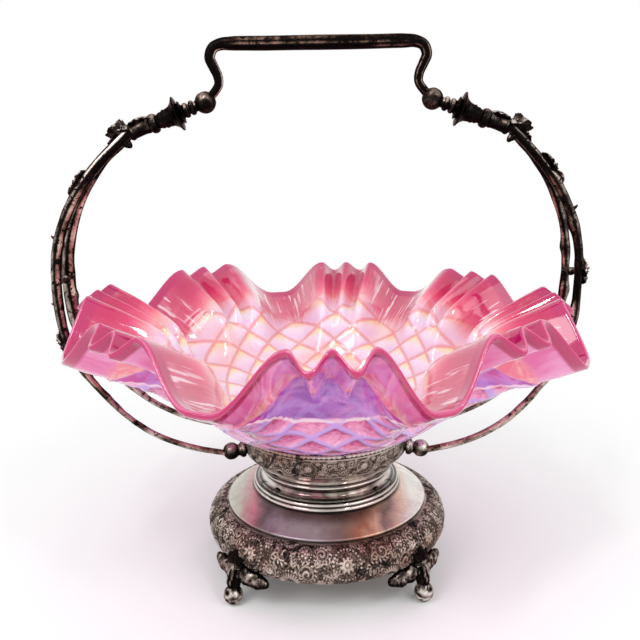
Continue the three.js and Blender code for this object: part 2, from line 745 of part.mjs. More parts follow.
const sides = [['left', -1], ['right', 1]];
const faces = [['front', -1], ['back', 1]];
sides.forEach(([sideName, side]) => {
  faces.forEach(([faceName, face]) => {
    const turn = Math.atan2(face * Math.sin(radians(bossTurn)), side * Math.cos(radians(bossTurn)));
    addPiece(`boss_${faceName}_${sideName}`, bossGeometry(turn), darkSilver);
    addPiece(`wire_${faceName}_${sideName}`, rodAlong(wireCurve(side, face), wireRadius, wireSides, wireSteps), darkSilver);
  });
  const ballCentre = [side * ballSpan - gripLean, 0, ballZ];
  addPiece(
    `fitting_ball_${sideName}`,
    ball([fittingBallRadius, fittingBallRadius, fittingBallRadius], ballCentre, [0, 0, 0], 14),
    darkSilver,
  );
  fittings.forEach(({ name, start, length, points }) => {
    addPiece(`${name}_${sideName}`, fittingGeometry(fittingProfile(length, points), start, side), darkSilver);
  });
  addPiece(`rose_${sideName}`, roseGeometry(side), darkSilver);
  addPiece(`brace_${sideName}`, braceGeometry(side), darkSilver);
});
leaves.forEach((leaf) => addPiece(leaf.name, leafGeometry(leaf), darkSilver));
addPiece('grip_bar', rodAlong(gripCurve(), gripThickness / 2, gripSides, gripSteps), darkSilver);

export default basket;
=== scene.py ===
import math

import bmesh
import bpy
import numpy as np
from mathutils import Euler, Matrix, Vector


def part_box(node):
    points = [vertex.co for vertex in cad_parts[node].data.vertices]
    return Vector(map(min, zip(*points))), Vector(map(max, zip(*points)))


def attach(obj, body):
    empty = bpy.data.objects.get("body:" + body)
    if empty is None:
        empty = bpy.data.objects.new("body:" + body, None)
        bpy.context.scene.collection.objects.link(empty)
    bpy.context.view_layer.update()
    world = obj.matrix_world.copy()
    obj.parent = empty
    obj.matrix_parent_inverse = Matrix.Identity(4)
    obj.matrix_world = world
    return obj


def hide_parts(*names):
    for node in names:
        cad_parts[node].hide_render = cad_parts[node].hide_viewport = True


# A brides basket: a ruffled cranberry glass bowl in a silver-plated stand with a branch handle.
# Shapes are worked out in millimetres and set down in metres. +Z is up and the front faces -Y.
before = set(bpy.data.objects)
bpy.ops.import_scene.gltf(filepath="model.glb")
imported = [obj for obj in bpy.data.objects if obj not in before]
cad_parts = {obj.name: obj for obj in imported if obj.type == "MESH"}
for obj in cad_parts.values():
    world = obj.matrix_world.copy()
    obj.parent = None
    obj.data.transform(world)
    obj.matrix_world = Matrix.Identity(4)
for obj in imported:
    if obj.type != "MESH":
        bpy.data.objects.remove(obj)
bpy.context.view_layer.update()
mm = 0.001
fullTurn = 2 * math.pi
print("frame loaded:", len(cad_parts), "nodes")


# Helpers for numbers
def smooth(value, low, high):
    share = np.clip((value - low) / (high - low), 0, 1)
    return share * share * (3 - 2 * share)


def hump(value, middle, half, power=2):  # 1 at the middle, falling away past half
    return np.exp(-(abs(value - middle) / half) ** power)


def ripple(points, size, seed):  # soft noise from a few crossing waves, about -1 to 1
    random = np.random.default_rng(seed)
    total = np.zeros(len(points))
    for _ in range(8):
        direction = random.normal(size=3)
        direction *= fullTurn / size * random.uniform(0.6, 1.5) / np.linalg.norm(direction)
        total += np.sin(points @ direction + random.uniform(0, fullTurn))
    return total / 4


def lineRipple(length, size, seed):  # the same noise along one line
    return ripple(np.stack([length, length * 0, length * 0], axis=1), size, seed)


def splinePoint(line, share):  # Catmull-Rom through the line's points, evenly timed
    line = np.array(line, float)
    last = len(line) - 1
    place = np.clip(share, 0, 1) * last
    index = np.minimum(place.astype(int), last - 1)
    part = (place - index)[..., None]
    before, start = line[np.maximum(index - 1, 0)], line[index]
    end, after = line[index + 1], line[np.minimum(index + 2, last)]
    leave, arrive = (end - before) / 2, (after - start) / 2
    return ((2 * start - 2 * end + leave + arrive) * part ** 3
            + (3 * end - 3 * start - 2 * leave - arrive) * part ** 2 + leave * part + start)


def splineLine(line, count):
    return splinePoint(line, np.linspace(0, 1, count)).tolist()


def arcLine(start, end, bulge, steps=7):  # from start to end, bulging to the right of the way by bulge
    start, end = np.array(start, float), np.array(end, float)
    side = np.array([end[1] - start[1], start[0] - end[0]])
    side /= np.linalg.norm(side)
    turns = math.pi * np.linspace(0, 1, steps)[:, None]
    return (start + (end - start) * (1 - np.cos(turns)) / 2 + side * bulge * np.sin(turns)).tolist()


def polarPoints(radius, angle, height):
    return np.stack([radius * np.cos(angle), radius * np.sin(angle), height], axis=-1)


def wayAt(degrees, first, second):  # the way that first takes when it is turned towards second
    angle = math.radians(degrees)
    return first * math.cos(angle) + second * math.sin(angle)


# Helpers for meshes
def nodeMiddle(name):
    low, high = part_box(name)
    return np.array((low + high) / 2) / mm


def addFields(mesh, fields):
    for label, values in fields.items():
        layer = mesh.attributes.new(label, "FLOAT", "POINT")
        layer.data.foreach_set("value", np.asarray(values, np.float32))


def meshPoints(mesh):
    flat = np.empty(len(mesh.vertices) * 3)
    mesh.vertices.foreach_get("co", flat)
    return flat.reshape(-1, 3) / mm


def meshNormals(mesh):
    flat = np.empty(len(mesh.vertices) * 3, np.float32)
    mesh.vertex_normals.foreach_get("vector", flat)
    return flat.reshape(-1, 3).astype(float)


def movePoints(mesh, points):
    mesh.vertices.foreach_set("co", (points * mm).ravel())
    mesh.update()


def finishForm(form, name, sharpDegrees=None):  # merges, turns the faces out and shades them smooth
    bmesh.ops.remove_doubles(form, verts=form.verts, dist=mm * 0.002)
    bmesh.ops.recalc_face_normals(form, faces=form.faces)
    for face in form.faces:
        face.smooth = True
    if sharpDegrees:
        limit = math.radians(sharpDegrees)
        for edge in form.edges:
            edge.smooth = not (len(edge.link_faces) == 2 and edge.calc_face_angle() > limit)
    return meshOf(form, name)


def meshOf(form, name):
    mesh = bpy.data.meshes.new(name)
    form.to_mesh(mesh)
    form.free()
    return mesh


def gridMesh(name, columns, rows, place):  # a grid laid on a surface; place gives points, fields, pattern
    form = bmesh.new()
    bmesh.ops.create_grid(form, x_segments=columns, y_segments=rows, size=0.5)
    sheet = meshOf(form, name + "Sheet")
    flat = meshPoints(sheet) * mm
    points, fields, pattern = place(np.clip(flat[:, 0] + 0.5, 0, 1), np.clip(flat[:, 1] + 0.5, 0, 1))
    movePoints(sheet, points)
    addFields(sheet, fields)
    if pattern is not None:
        corners = np.empty(len(sheet.loops), np.int32)
        sheet.loops.foreach_get("vertex_index", corners)
        layer = sheet.uv_layers.new(name="pattern")
        layer.data.foreach_set("uv", np.stack(pattern, axis=-1)[corners].astype(np.float32).ravel())
    form = bmesh.new()
    form.from_mesh(sheet)
    bpy.data.meshes.remove(sheet)
    return finishForm(form, name)


def turnedForm(profile, steps, closed=True):  # [radius, height] points spun about Z
    form = bmesh.new()
    verts = [form.verts.new((radius * mm, 0, height * mm)) for radius, height in profile]
    edges = [form.edges.new(pair) for pair in zip(verts, verts[1:])]
    if closed:
        edges.append(form.edges.new((verts[-1], verts[0])))
    bmesh.ops.spin(form, geom=verts + edges, cent=(0, 0, 0), axis=(0, 0, 1), angle=fullTurn, steps=steps,
                   use_merge=True)
    return form


def placeForm(form, matrix):
    bmesh.ops.transform(form, matrix=matrix, verts=form.verts)
    return form


def addForm(form, other):  # other's geometry goes into form
    mesh = meshOf(other, "spare")
    form.from_mesh(mesh)
    bpy.data.meshes.remove(mesh)


def basis(along, up, origin):  # X runs along, Z towards up, in metres
    along = Vector(along).normalized()
    across = Vector(up).cross(along).normalized()
    turned = Matrix((along, across, along.cross(across))).transposed().to_4x4()
    return Matrix.Translation(Vector(origin) * mm) @ turned


def ringCentres(node, sides, start):  # a CAD rod's middle line, walked ring by ring from the end near start
    points = np.unique(np.round(meshPoints(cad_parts[node].data), 3), axis=0)
    centres = []
    here = np.array(start, float)
    while len(points) >= sides:
        order = np.argsort(np.linalg.norm(points - here, axis=1))
        here = points[order[:sides]].mean(axis=0)
        centres.append(here)
        points = points[order[sides:]]
    return np.array(centres)


def pieceName(node):  # foot_front_left becomes footFrontLeft
    first, *others = node.split("_")
    return first + "".join(word.title() for word in others)


def addObject(name, data):
    made = bpy.data.objects.new(name, data)
    bpy.context.scene.collection.objects.link(made)
    return made


def addPiece(name, mesh, material, nodes, body="stand"):
    piece = addObject(name, mesh)
    mesh.materials.clear()
    mesh.materials.append(material)
    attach(piece, body)
    if nodes:
        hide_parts(*nodes)


# Helpers for finishes
def tint(red, green, blue):  # a colour as it shows on the screen, 0 to 255
    shares = [level / 255 for level in (red, green, blue)]
    return (*[share / 12.92 if share < 0.04 else ((share + 0.055) / 1.055) ** 2.4 for share in shares], 1)


def addNode(tree, kind, inputs=(), **settings):  # gives the outputs of the new node
    made = tree.nodes.new("ShaderNode" + kind)
    for key, value in settings.items():
        setattr(made, key, value)
    for key, value in dict(inputs).items():
        if isinstance(value, Signal):
            tree.links.new(value.socket, made.inputs[key])
        else:
            made.inputs[key].default_value = value
    return made.outputs


class Signal:  # a number or colour on its way through a finish's nodes
    def __init__(self, socket):
        self.socket = socket
        self.tree = socket.id_data

    def maths(self, operation, other=0.0):
        return Signal(addNode(self.tree, "Math", {0: self, 1: other}, operation=operation)[0])

    def __add__(self, other):
        return self.maths("ADD", other)

    def __sub__(self, other):
        return self.maths("SUBTRACT", other)

    def __mul__(self, other):
        return self.maths("MULTIPLY", other)

    def opposite(self):  # 1 where this is 0
        return Signal(addNode(self.tree, "Math", {0: 1.0, 1: self}, operation="SUBTRACT")[0])

    def swing(self, size):  # noise turned into plus or minus half the size
        return (self - 0.5) * size

    def span(self, low, high, start=0.0, end=1.0):  # low to high while this goes from start to end
        inputs = {"Value": self, "From Min": start, "From Max": end, "To Min": low, "To Max": high}
        return Signal(addNode(self.tree, "MapRange", inputs, interpolation_type="SMOOTHSTEP")["Result"])

    def blend(self, low, high, mode="MIX"):  # low where this is 0 and high where it is 1; signals or colours
        low, high = [tint(*colour) if isinstance(colour, tuple) else colour for colour in (low, high)]
        inputs = {0: self, 6: low, 7: high}
        return Signal(addNode(self.tree, "Mix", inputs, data_type="RGBA", blend_type=mode)[2])

    def ramp(self, stops):  # each stop is a place and a colour
        made = addNode(self.tree, "ValToRGB", {0: self})["Color"]
        marks = made.node.color_ramp.elements
        while len(marks) < len(stops):
            marks.new(0.5)
        for mark, (place, colour) in zip(marks, stops):
            mark.position = place
            mark.color = tint(*colour)
        return Signal(made)

    def feed(self, shader, name):
        self.tree.links.new(self.socket, shader.inputs[name])

    def bump(self, shader, distance, strength):
        inputs = {"Height": self, "Distance": distance, "Strength": strength}
        Signal(addNode(self.tree, "Bump", inputs)[0]).feed(shader, "Normal")


def newFinish(name, settings):
    material = bpy.data.materials.new(name)
    material.use_nodes = True
    shader = material.node_tree.nodes["Principled BSDF"]
    for key, value in settings.items():
        shader.inputs[key].default_value = value
    return material, material.node_tree, shader


def field(tree, name):
    return Signal(addNode(tree, "Attribute", attribute_name=name)["Fac"])


def objectPlace(tree):
    return Signal(addNode(tree, "TexCoord")["Object"])


def vectorMaths(tree, operation, inputs, output=0):
    return Signal(addNode(tree, "VectorMath", inputs, operation=operation)[output])


def noise(tree, scale, detail=3.0, roughness=0.55, stretch=(1, 1, 1), warp=0.0):
    mapped = Signal(addNode(tree, "Mapping", {"Vector": objectPlace(tree), "Scale": stretch})[0])
    inputs = {"Vector": mapped, "Scale": scale, "Detail": detail, "Roughness": roughness, "Distortion": warp}
    return Signal(addNode(tree, "TexNoise", inputs)["Fac"])


def rayNoise(tree, count, pace):  # streaks that run in from the lip; pace is per millimetre from the lip
    flat = vectorMaths(tree, "MULTIPLY", {0: objectPlace(tree), 1: (1, 1, 0)})
    ray = vectorMaths(tree, "NORMALIZE", {0: flat})
    spread = vectorMaths(tree, "SCALE", {0: ray, "Scale": count})
    inward = Signal(addNode(tree, "CombineXYZ", {2: field(tree, "edge") * pace})[0])
    vector = vectorMaths(tree, "ADD", {0: spread, 1: inward})
    return Signal(addNode(tree, "TexNoise", {"Vector": vector, "Scale": 1.0, "Detail": 4.0})["Fac"])


# Cranberry glass
glassHues = dict(
    # the rim colour is a painted highlight along the lip's upper edge
    lip=(188, 14, 98), rim=(240, 150, 190),
    # inside, from the lip inwards over 90 mm, and the marks on it; the white strands are painted highlight
    # streaks
    ruffle=[(0.0, (190, 26, 98)), (0.06, (196, 24, 96)), (0.17, (198, 22, 92)), (0.27, (212, 48, 108)),
            (0.36, (230, 100, 132)), (0.48, (238, 152, 156)), (0.66, (240, 186, 180)),
            (1.0, (240, 194, 190))],
    haze=(240, 170, 184), shelf=(214, 84, 126), redStrand=(204, 62, 100), whiteStrand=(250, 226, 232),
    # up each cell of the quilting; the cream towards the top is a painted highlight on each pillow
    innerCell=[(0.0, (240, 206, 210)), (0.3, (234, 206, 230)), (0.62, (244, 224, 236)),
               (0.82, (250, 226, 190)), (1.0, (244, 194, 158))],
    salmon=(244, 180, 158), innerLine=(226, 134, 136),
    outerCell=[(0.0, (252, 196, 222)), (0.4, (240, 150, 196)), (0.68, (220, 108, 166)),
               (0.84, (176, 66, 116)), (1.0, (214, 120, 176))],
    # outside, each from deep to pale, and the marks on them; the crease mark is a painted highlight line
    mauve=[(234, 108, 172), (246, 158, 206)], peach=[(255, 122, 150), (255, 184, 180)],
    # violet stands for painted shade in the hollow under each lobe
    violet=[(164, 74, 186), (216, 136, 212)],
    flare=(206, 44, 154), rib=(202, 164, 232), crease=(255, 222, 232),
)
glassShader = {"Subsurface Radius": (1.0, 0.55, 0.85), "Subsurface Scale": 0.005, "Roughness": 0.07,
               "IOR": 1.5, "Coat Weight": 1.0, "Coat Roughness": 0.02, "Coat IOR": 1.45}


def glassCells(tree):  # how near the lines of the quilting are, and the height in a cell
    quilt = Signal(addNode(tree, "UVMap", uv_map="pattern")[0])
    first, second, _ = [Signal(way) for way in addNode(tree, "SeparateXYZ", {0: quilt})]
    near = first.maths("PINGPONG", 0.5).maths("MINIMUM", second.maths("PINGPONG", 0.5))
    return near, (first.maths("FRACT") + second.maths("FRACT")) * 0.5


# Crimson lip, hot pink ruffle, salmon, then pale cells with pinkish lines between
def glassInside(tree, edge, shift, streaks, side):
    near, height = glassCells(tree)
    ragged = edge + shift
    ruffle = ragged.maths("DIVIDE", 90).ramp(glassHues["ruffle"])
    ruffle = streaks.span(0, 0.45, 0.52, 0.68).blend(ruffle, glassHues["haze"])
    shelf = side.span(0, 1, 0.15, 0.5) * edge.span(1, 0, 46, 66)
    ruffle = (shelf * 0.6).blend(ruffle, glassHues["shelf"])
    strands = rayNoise(tree, 75, 0.03)
    ruffle = (shelf * strands.span(0.75, 0, 0.38, 0.47)).blend(ruffle, glassHues["redStrand"])
    # pale streaks on the shelf are painted highlights
    ruffle = (shelf * strands.span(0, 0.85, 0.57, 0.63)).blend(ruffle, glassHues["whiteStrand"])
    # painted highlight along the upper edge of each cell
    cell = height.ramp(glassHues["innerCell"])
    cell = noise(tree, 26, 2, 0.5).span(0, 0.55, 0.45, 0.68).blend(cell, glassHues["salmon"])
    frayed = near + noise(tree, 240, 2).swing(0.06)
    quilted = frayed.span(0.62, 0.0, 0.02, 0.11).blend(cell, glassHues["innerLine"])
    return ragged.span(0, 1, 30, 52).blend(ruffle, quilted)


# Crimson lip, mauve ruffle, peach rim of the violet hollow under each lobe, lilac ribs; the violet there is
# painted shade
def glassOutside(tree, edge, shift, streaks, side):
    near, height = glassCells(tree)
    mauve = streaks.span(0, 1, 0.4, 0.66).blend(*glassHues["mauve"])
    peach = noise(tree, 60, 4, 0.6, warp=2.0).span(0, 1, 0.4, 0.62).blend(*glassHues["peach"])
    clouds = noise(tree, 42, 4, 0.6, warp=1.4, stretch=(1, 1, 2))
    violet = clouds.span(0, 1, 0.38, 0.66).blend(*glassHues["violet"])
    steep = side * side
    hollow = steep * -15 + 42 + (field(tree, "crest") - 1.0) * 9
    past = edge + shift * 0.4 - hollow
    peachWidth = side.span(3, 15, 0.0, 0.12) * (steep * side).opposite()
    colour = (past + peachWidth).span(0, 1, -4, 3).blend(mauve, peach)
    # painted shade: violet in the hollow under each lobe
    colour = past.span(0, 1, -0.8, 0.8).blend(colour, violet)
    flare = past.span(0, 1, 0, 1.5) * past.span(1, 0, 6, 13) * side.span(0.2, 1, 0.0, 0.25)
    flare = flare * noise(tree, 55, 3, 0.6, warp=1.5).span(0.1, 0.95, 0.42, 0.56)
    colour = flare.blend(colour, glassHues["flare"])
    shade = height + noise(tree, 150, 3, 0.6, warp=2.0).swing(1.3)
    over = field(tree, "over")
    body = over.span(1.0, 0.0, -0.6, 0.6)
    colour = body.blend(colour, shade.ramp(glassHues["outerCell"]))
    ribbed = (body * 0.92).maths("MAXIMUM", past.span(0, 0.35, 0, 6))
    colour = (near.span(1.0, 0.0, 0.05, 0.16) * ribbed).blend(colour, glassHues["rib"])
    # a painted highlight line along the crease
    crease = over.span(0, 1, -2.6, -1.4) * over.span(1, 0, -0.4, 0.8)
    crease = crease * noise(tree, 70, 3, 0.6).span(0.25, 1, 0.36, 0.52)
    return crease.blend(colour, glassHues["crease"])


def glassFinish():
    material, tree, shader = newFinish("cranberryGlass", glassShader)
    edge, upper, side = field(tree, "edge"), field(tree, "upper"), field(tree, "lobe").opposite()
    shift = noise(tree, 30, 3, 0.55, warp=0.8).swing(14)
    streaks = rayNoise(tree, 26, 0.035)
    inside = glassInside(tree, edge, shift, streaks, side)
    outside = glassOutside(tree, edge, shift, streaks, side)
    colour = upper.span(0, 1, 0.4, 0.6).blend(outside, inside)
    colour = edge.span(1.0, 0.0, 6.6, 9.0).blend(colour, glassHues["lip"])
    # a painted highlight along the inner edge of the lip
    rim = edge.span(0.4, 0.0, 0.4, 1.4) * upper.span(0, 1, 0.5, 0.95)
    rim.blend(colour, glassHues["rim"]).feed(shader, "Base Color")
    edge.span(0.2, 0.6, 0.0, 45).feed(shader, "Subsurface Weight")
    noise(tree, 90, 3, 0.5, warp=0.4).bump(shader, 0.0006, 0.4)
    return material


# Silver tarnished to nearly black, with olive and pinkish streaks that are partly rubbed plate and partly
# painted reflection and highlight
darkHues = dict(
    rubbedAndSheen=[(0.0, (8, 6, 6)), (0.32, (15, 10, 10)), (0.42, (44, 30, 28)), (0.5, (94, 78, 64)),
            (0.58, (120, 91, 82)), (0.67, (176, 138, 128)), (0.84, (204, 176, 162)), (1.0, (230, 220, 210))],
    bare=[(0.2, (12, 9, 9)), (0.4, (58, 50, 46)), (0.54, (128, 118, 110)), (0.68, (176, 168, 161)),
          (0.9, (226, 222, 216))],
    spots=(14, 9, 10), glint=(190, 176, 170),
)


def darkSilverFinish():
    settings = {"Metallic": 0.9, "Specular Tint": tint(*darkHues["glint"])}
    material, tree, shader = newFinish("darkSilver", settings)
    patches = noise(tree, 90, 5, 0.7, warp=0.8)
    blotches = noise(tree, 380, 4, 0.65, warp=0.6)
    # the level from each piece carries both wear and painted highlight
    level = field(tree, "worn") + patches.swing(0.7) + blotches.swing(0.5)
    colour = field(tree, "bare").blend(level.ramp(darkHues["rubbedAndSheen"]), level.ramp(darkHues["bare"]))
    blotches.span(1.0, 0.0, 0.39, 0.43).blend(colour, darkHues["spots"]).feed(shader, "Base Color")
    blotches.span(0.14, 0.34).feed(shader, "Roughness")
    (patches + blotches).bump(shader, 0.0005, 0.45)
    return material


# Embossed silver, dark in the recesses, with black grime and brown stains
embossedHues = dict(
    relief=[(0.0, (124, 106, 95)), (0.08, (82, 67, 60)), (0.19, (20, 14, 14)), (0.33, (118, 102, 92)),
            (0.6, (182, 166, 155)), (1.0, (240, 234, 228))],
    grime=(36, 28, 28), stain=(178, 124, 98),
)


def embossedSilverFinish():
    material, tree, shader = newFinish("embossedSilver", {"Metallic": 0.85})
    relief = field(tree, "relief")
    chased = noise(tree, 900, 3, 0.6)
    colour = (relief + chased.swing(0.4)).ramp(embossedHues["relief"])
    grime = noise(tree, 75, 4, 0.65, warp=1.0).span(0, 0.9, 0.57, 0.62)
    colour = grime.blend(colour, embossedHues["grime"], "MULTIPLY")
    stain = noise(tree, 22, 3, 0.5).span(0, 0.6, 0.5, 0.66)
    stain.blend(colour, embossedHues["stain"], "MULTIPLY").feed(shader, "Base Color")
    relief.span(0.5, 0.24).feed(shader, "Roughness")
    chased.bump(shader, 0.0004, 0.6)
    return material


# Polished silver: the shoulder carries painted reflections that change from left to right, the waist painted
# dark reflections in front, and soft clouds of painted reflection lie all over
polishedHues = dict(
    clouds=[(0.3, (172, 166, 158)), (0.42, (220, 217, 208)), (0.5, (216, 198, 194)), (0.58, (198, 190, 182)),
            (0.74, (242, 242, 236))],
    toned=[(0.0, (240, 241, 226)), (0.09, (208, 208, 190)), (0.135, (206, 160, 160)),
           (0.17, (216, 134, 150)), (0.22, (118, 104, 104)), (0.29, (186, 174, 182)),
           (0.46, (188, 178, 182)), (0.58, (150, 126, 118)), (0.655, (196, 128, 96)),
           (0.71, (255, 214, 178)), (0.765, (150, 128, 116)), (0.82, (248, 206, 180)),
           (0.88, (252, 248, 240))],
    mirrored=[(0.34, (70, 46, 46)), (0.45, (186, 128, 142)), (0.5, (84, 58, 60)), (0.58, (200, 190, 184)),
              (0.66, (96, 72, 62))],
    mist=(186, 176, 172), brushed=(176, 160, 160), dusk=(112, 76, 72), smears=(120, 104, 98),
    # groove: tarnish in the hollows, with painted dark reflection on the neck's bands
    groove=(46, 36, 36),
)
paintedReflectionsWidth = 124


# painted reflections run across the shoulder from left to right
def shoulderColour(tree, right, up, clouds):
    across = right * 1000 + noise(tree, 34, 4, 0.6, warp=1.2).swing(20)
    colour = (across.maths("DIVIDE", paintedReflectionsWidth) + 0.5).ramp(polishedHues["toned"])
    colour = clouds.span(0.0, 0.3, 0.42, 0.62).blend(colour, polishedHues["mist"])
    brushed = noise(tree, 210, 4, 0.7, stretch=(1, 1, 0.4)).span(0, 0.22, 0.46, 0.62)
    colour = brushed.blend(colour, polishedHues["brushed"], "MULTIPLY")
    # painted shade on the upper shoulder in front
    dusk = up.span(0, 0.9, 0.043, 0.0472) * right.maths("ABSOLUTE").span(1, 0, 0.018, 0.042)
    return dusk.blend(colour, polishedHues["dusk"], "MULTIPLY")


def polishedSilverFinish():
    material, tree, shader = newFinish("polishedSilver", {})
    clouds = noise(tree, 17, 3, 0.55, stretch=(1, 1, 3.0), warp=0.5)
    right, _, up = [Signal(way) for way in addNode(tree, "SeparateXYZ", {0: objectPlace(tree)})]
    onShoulder = up.span(1.0, 0.0, 0.0475, 0.0485)
    colour = clouds.ramp(polishedHues["clouds"])
    colour = onShoulder.blend(colour, shoulderColour(tree, right, up, clouds))
    waist = up.span(0, 1, 0.0535, 0.0545) * up.span(0.9, 0, 0.0582, 0.0592)
    waist = waist * right.maths("ABSOLUTE").span(1, 0, 0.024, 0.033)
    mirrored = noise(tree, 34, 3, 0.6, stretch=(1, 1, 0.3)).ramp(polishedHues["mirrored"])
    colour = waist.blend(colour, mirrored, "MULTIPLY")
    smears = noise(tree, 60, 5, 0.7, stretch=(1, 1, 0.6), warp=1.4)
    colour = smears.span(0, 0.3, 0.52, 0.72).blend(colour, polishedHues["smears"], "MULTIPLY")
    field(tree, "groove").blend(colour, polishedHues["groove"]).feed(shader, "Base Color")
    (onShoulder * 0.4).opposite().feed(shader, "Metallic")
    (smears.span(0.08, 0.18, 0.4, 0.75) + onShoulder * 0.2).feed(shader, "Roughness")
    smears.bump(shader, 0.0004, 0.12)
    return material


glassLook = glassFinish()
darkSilver = darkSilverFinish()
embossedSilver = embossedSilverFinish()
polishedSilver = polishedSilverFinish()
print("finishes made")


# Glass bowl: heights are above the middle of the glass at its bottom
bowl = dict(
    thickness=3.2, lipRound=1.7, lipSteps=8, flankColumns=13, crimpColumns=28, lobes=8,
    # sections as [radius, height]: the body, then on through a crimp's crest, its dip or a valley
    bodyLine=[(0, 0), (30, 1), (50, 7.3), (66, 16)],
    crestLine=[(76, 29), (83, 44), (91, 59), (108, 70), (129, 81)],
    dipLine=[(77, 28), (87, 40), (98, 51), (116, 63.5), (136.5, 74)],
    valleyLine=[(80, 25.5), (95, 35.5), (110, 43.5), (125, 49.5), (138, 56)],
    crimpSpread=8, valleyFlat=1.12, crimpFrom=(0.58, 0.82),
    # unevenness of the lobes and of the valleys after them, from the front lobe round
    lobeTurn=[1, -3, -4, -7, -8, -5, -3, -2], lobeReach=[-1, -1, -1, -1, 0, 1, 1, -1],
    lobeRise=[1.5, 1, -1, -2.5, -2, 0.5, 2, 0.5],
    valleyTurn=[-3, -3, -2, -4, -9, -2, -5, 1], valleyReach=[-1, 4, 0, 1, 0, 0, 3, -1],
    valleyRise=[0.5, -0.5, 0, 1, 0, 0, 1, 1],
    # rows of faces under and inside the glass: from, to and spacing along it; the last runs to the edge
    underRows=[(0, 51, 3.4), (51, 128, 1.15)], underEdge=(128, 2.6),
    overRows=[(0, 12, 2), (12, 110, 1.2)], overEdge=(110, 2.5),
    cells=21, cellTurn=-87, cellTallness=0.83, cellRow=92, innermostCell=14,
    # widths are shares of a cell, and the rest are millimetres along the glass from its middle
    ribRise=0.75, ribWidth=(0.05, 0.17), ribsFrom=(52, 58), grooveDepth=0.5, grooveWidth=(0.0, 0.15),
    groovesTo=(94, 116), creaseAt=96, creaseClimb=32, creaseStep=1.1,
    wave=0.22, waveLength=26, waveFrom=(40, 80),
)


def bowlColumns(across):  # the angle, lobe share, crest share, reach and rise of each column
    lobes, pitch = bowl["lobes"], 360 / bowl["lobes"]
    place = across * lobes
    lobe = np.minimum(np.floor(place + 1e-9).astype(int), lobes)
    share = place - lobe
    whole = lobe == lobes
    lobe[whole] = 0
    flank = bowl["flankColumns"] / (2 * bowl["flankColumns"] + bowl["crimpColumns"])
    before, behind = share < flank, share > 1 - flank
    fall = np.where(before, 1 - share / flank, np.where(behind, (share - 1 + flank) / flank, 0))
    crimp = np.clip((share - flank) / (1 - 2 * flank) * 2 - 1, -1, 1)
    valley = np.where(before, lobe - 1, lobe)
    mark = valley % lobes
    lobeAngle = -90 + pitch * lobe + np.array(bowl["lobeTurn"])[lobe]
    valleyAngle = -90 + pitch * (valley + 0.5) + np.array(bowl["valleyTurn"])[mark]
    angle = lobeAngle + bowl["crimpSpread"] * crimp
    angle = np.where(before | behind, angle + (valleyAngle - angle) * fall, angle)
    belongs = (1 + np.cos(math.pi * np.minimum(fall * bowl["valleyFlat"], 1))) / 2
    reach, rise = [np.array(bowl["lobe" + key])[lobe] * belongs
                   + np.array(bowl["valley" + key])[mark] * (1 - belongs) for key in ("Reach", "Rise")]
    return angle + 360 * whole, belongs, (1 + np.cos(fullTurn * crimp)) / 2, reach, rise


def glassMiddle(columns, share):
    _, belongs, crest, reach, rise = columns
    crestPoint, dipPoint, valleyPoint = [splinePoint(bowl["bodyLine"] + bowl[key], share)
                                         for key in ("crestLine", "dipLine", "valleyLine")]
    crest = (1 - (1 - crest) * smooth(share, *bowl["crimpFrom"]))[:, None]
    inLobe = belongs[:, None]
    point = (crestPoint * crest + dipPoint * (1 - crest)) * inLobe + valleyPoint * (1 - inLobe)
    start = (len(bowl["bodyLine"]) - 1) / (len(bowl["bodyLine"] + bowl["crestLine"]) - 1)
    outward = np.maximum(share - start, 0) / (1 - start)
    return point + np.stack([reach * outward, rise * outward], axis=-1)


def crestRun():  # shares of the way to the edge through a crest, the points there, and their distance
    shares = np.linspace(0, 1, 400)
    line = splinePoint(bowl["bodyLine"] + bowl["crestLine"], shares)
    length = np.concatenate([[0], np.cumsum(np.linalg.norm(np.diff(line, axis=0), axis=1))])
    return shares, line, length


def rowDistances(side, length):
    start, spacing = bowl[side + "Edge"]
    spans = [*bowl[side + "Rows"], (start, length - 1, spacing)]
    return [*np.concatenate([np.arange(*span) for span in spans]), length]


def bowlRows():  # share of the way to the edge, angle round the lip, and distance along the body, row by row
    shares, _, length = crestRun()
    under, over = [rowDistances(side, length[-1]) for side in ("under", "over")]
    lip = np.linspace(-90, 90, bowl["lipSteps"] + 1)[1:-1]
    distance = np.array(under + [length[-1]] * len(lip) + over[::-1])
    turn = np.array([-90.0] * len(under) + list(lip) + [90.0] * len(over))
    return np.interp(distance, length, shares), np.radians(turn), distance


def quiltSteps(angle, distance):  # both families of ribs step with the angle and with rows of cells
    _, line, length = crestRun()
    rate = bowl["cells"] / (fullTurn * bowl["cellTallness"] * np.maximum(line[:, 0], bowl["innermostCell"]))
    rows = np.concatenate([[0], np.cumsum((rate[1:] + rate[:-1]) / 2 * np.diff(length))])
    rows -= np.interp(bowl["cellRow"], length, rows)
    step = bowl["cells"] * (angle - bowl["cellTurn"]) / 360
    row = np.interp(distance, length, rows)
    return row + step, row - step


def bowlRelief(steps, distance, creaseAt):  # height of ribs and crease outside, depth of grooves inside
    near = np.minimum(*[abs(step - np.round(step)) for step in steps])
    ribs = bowl["ribRise"] * (1 - smooth(near, *bowl["ribWidth"])) * smooth(distance, *bowl["ribsFrom"])
    ribs *= (1 - 0.8 * smooth(distance, creaseAt - 1, creaseAt + 4)
             - 0.2 * smooth(distance, creaseAt + 4, creaseAt + 16))
    crease = bowl["creaseStep"] * smooth(distance, creaseAt - 13, creaseAt - 1.5)
    crease *= 1 - smooth(distance, creaseAt, creaseAt + 2.5)
    grooves = bowl["grooveDepth"] * (1 - smooth(near, *bowl["grooveWidth"]))
    grooves *= 1 - smooth(distance, *bowl["groovesTo"])
    return ribs + crease, grooves


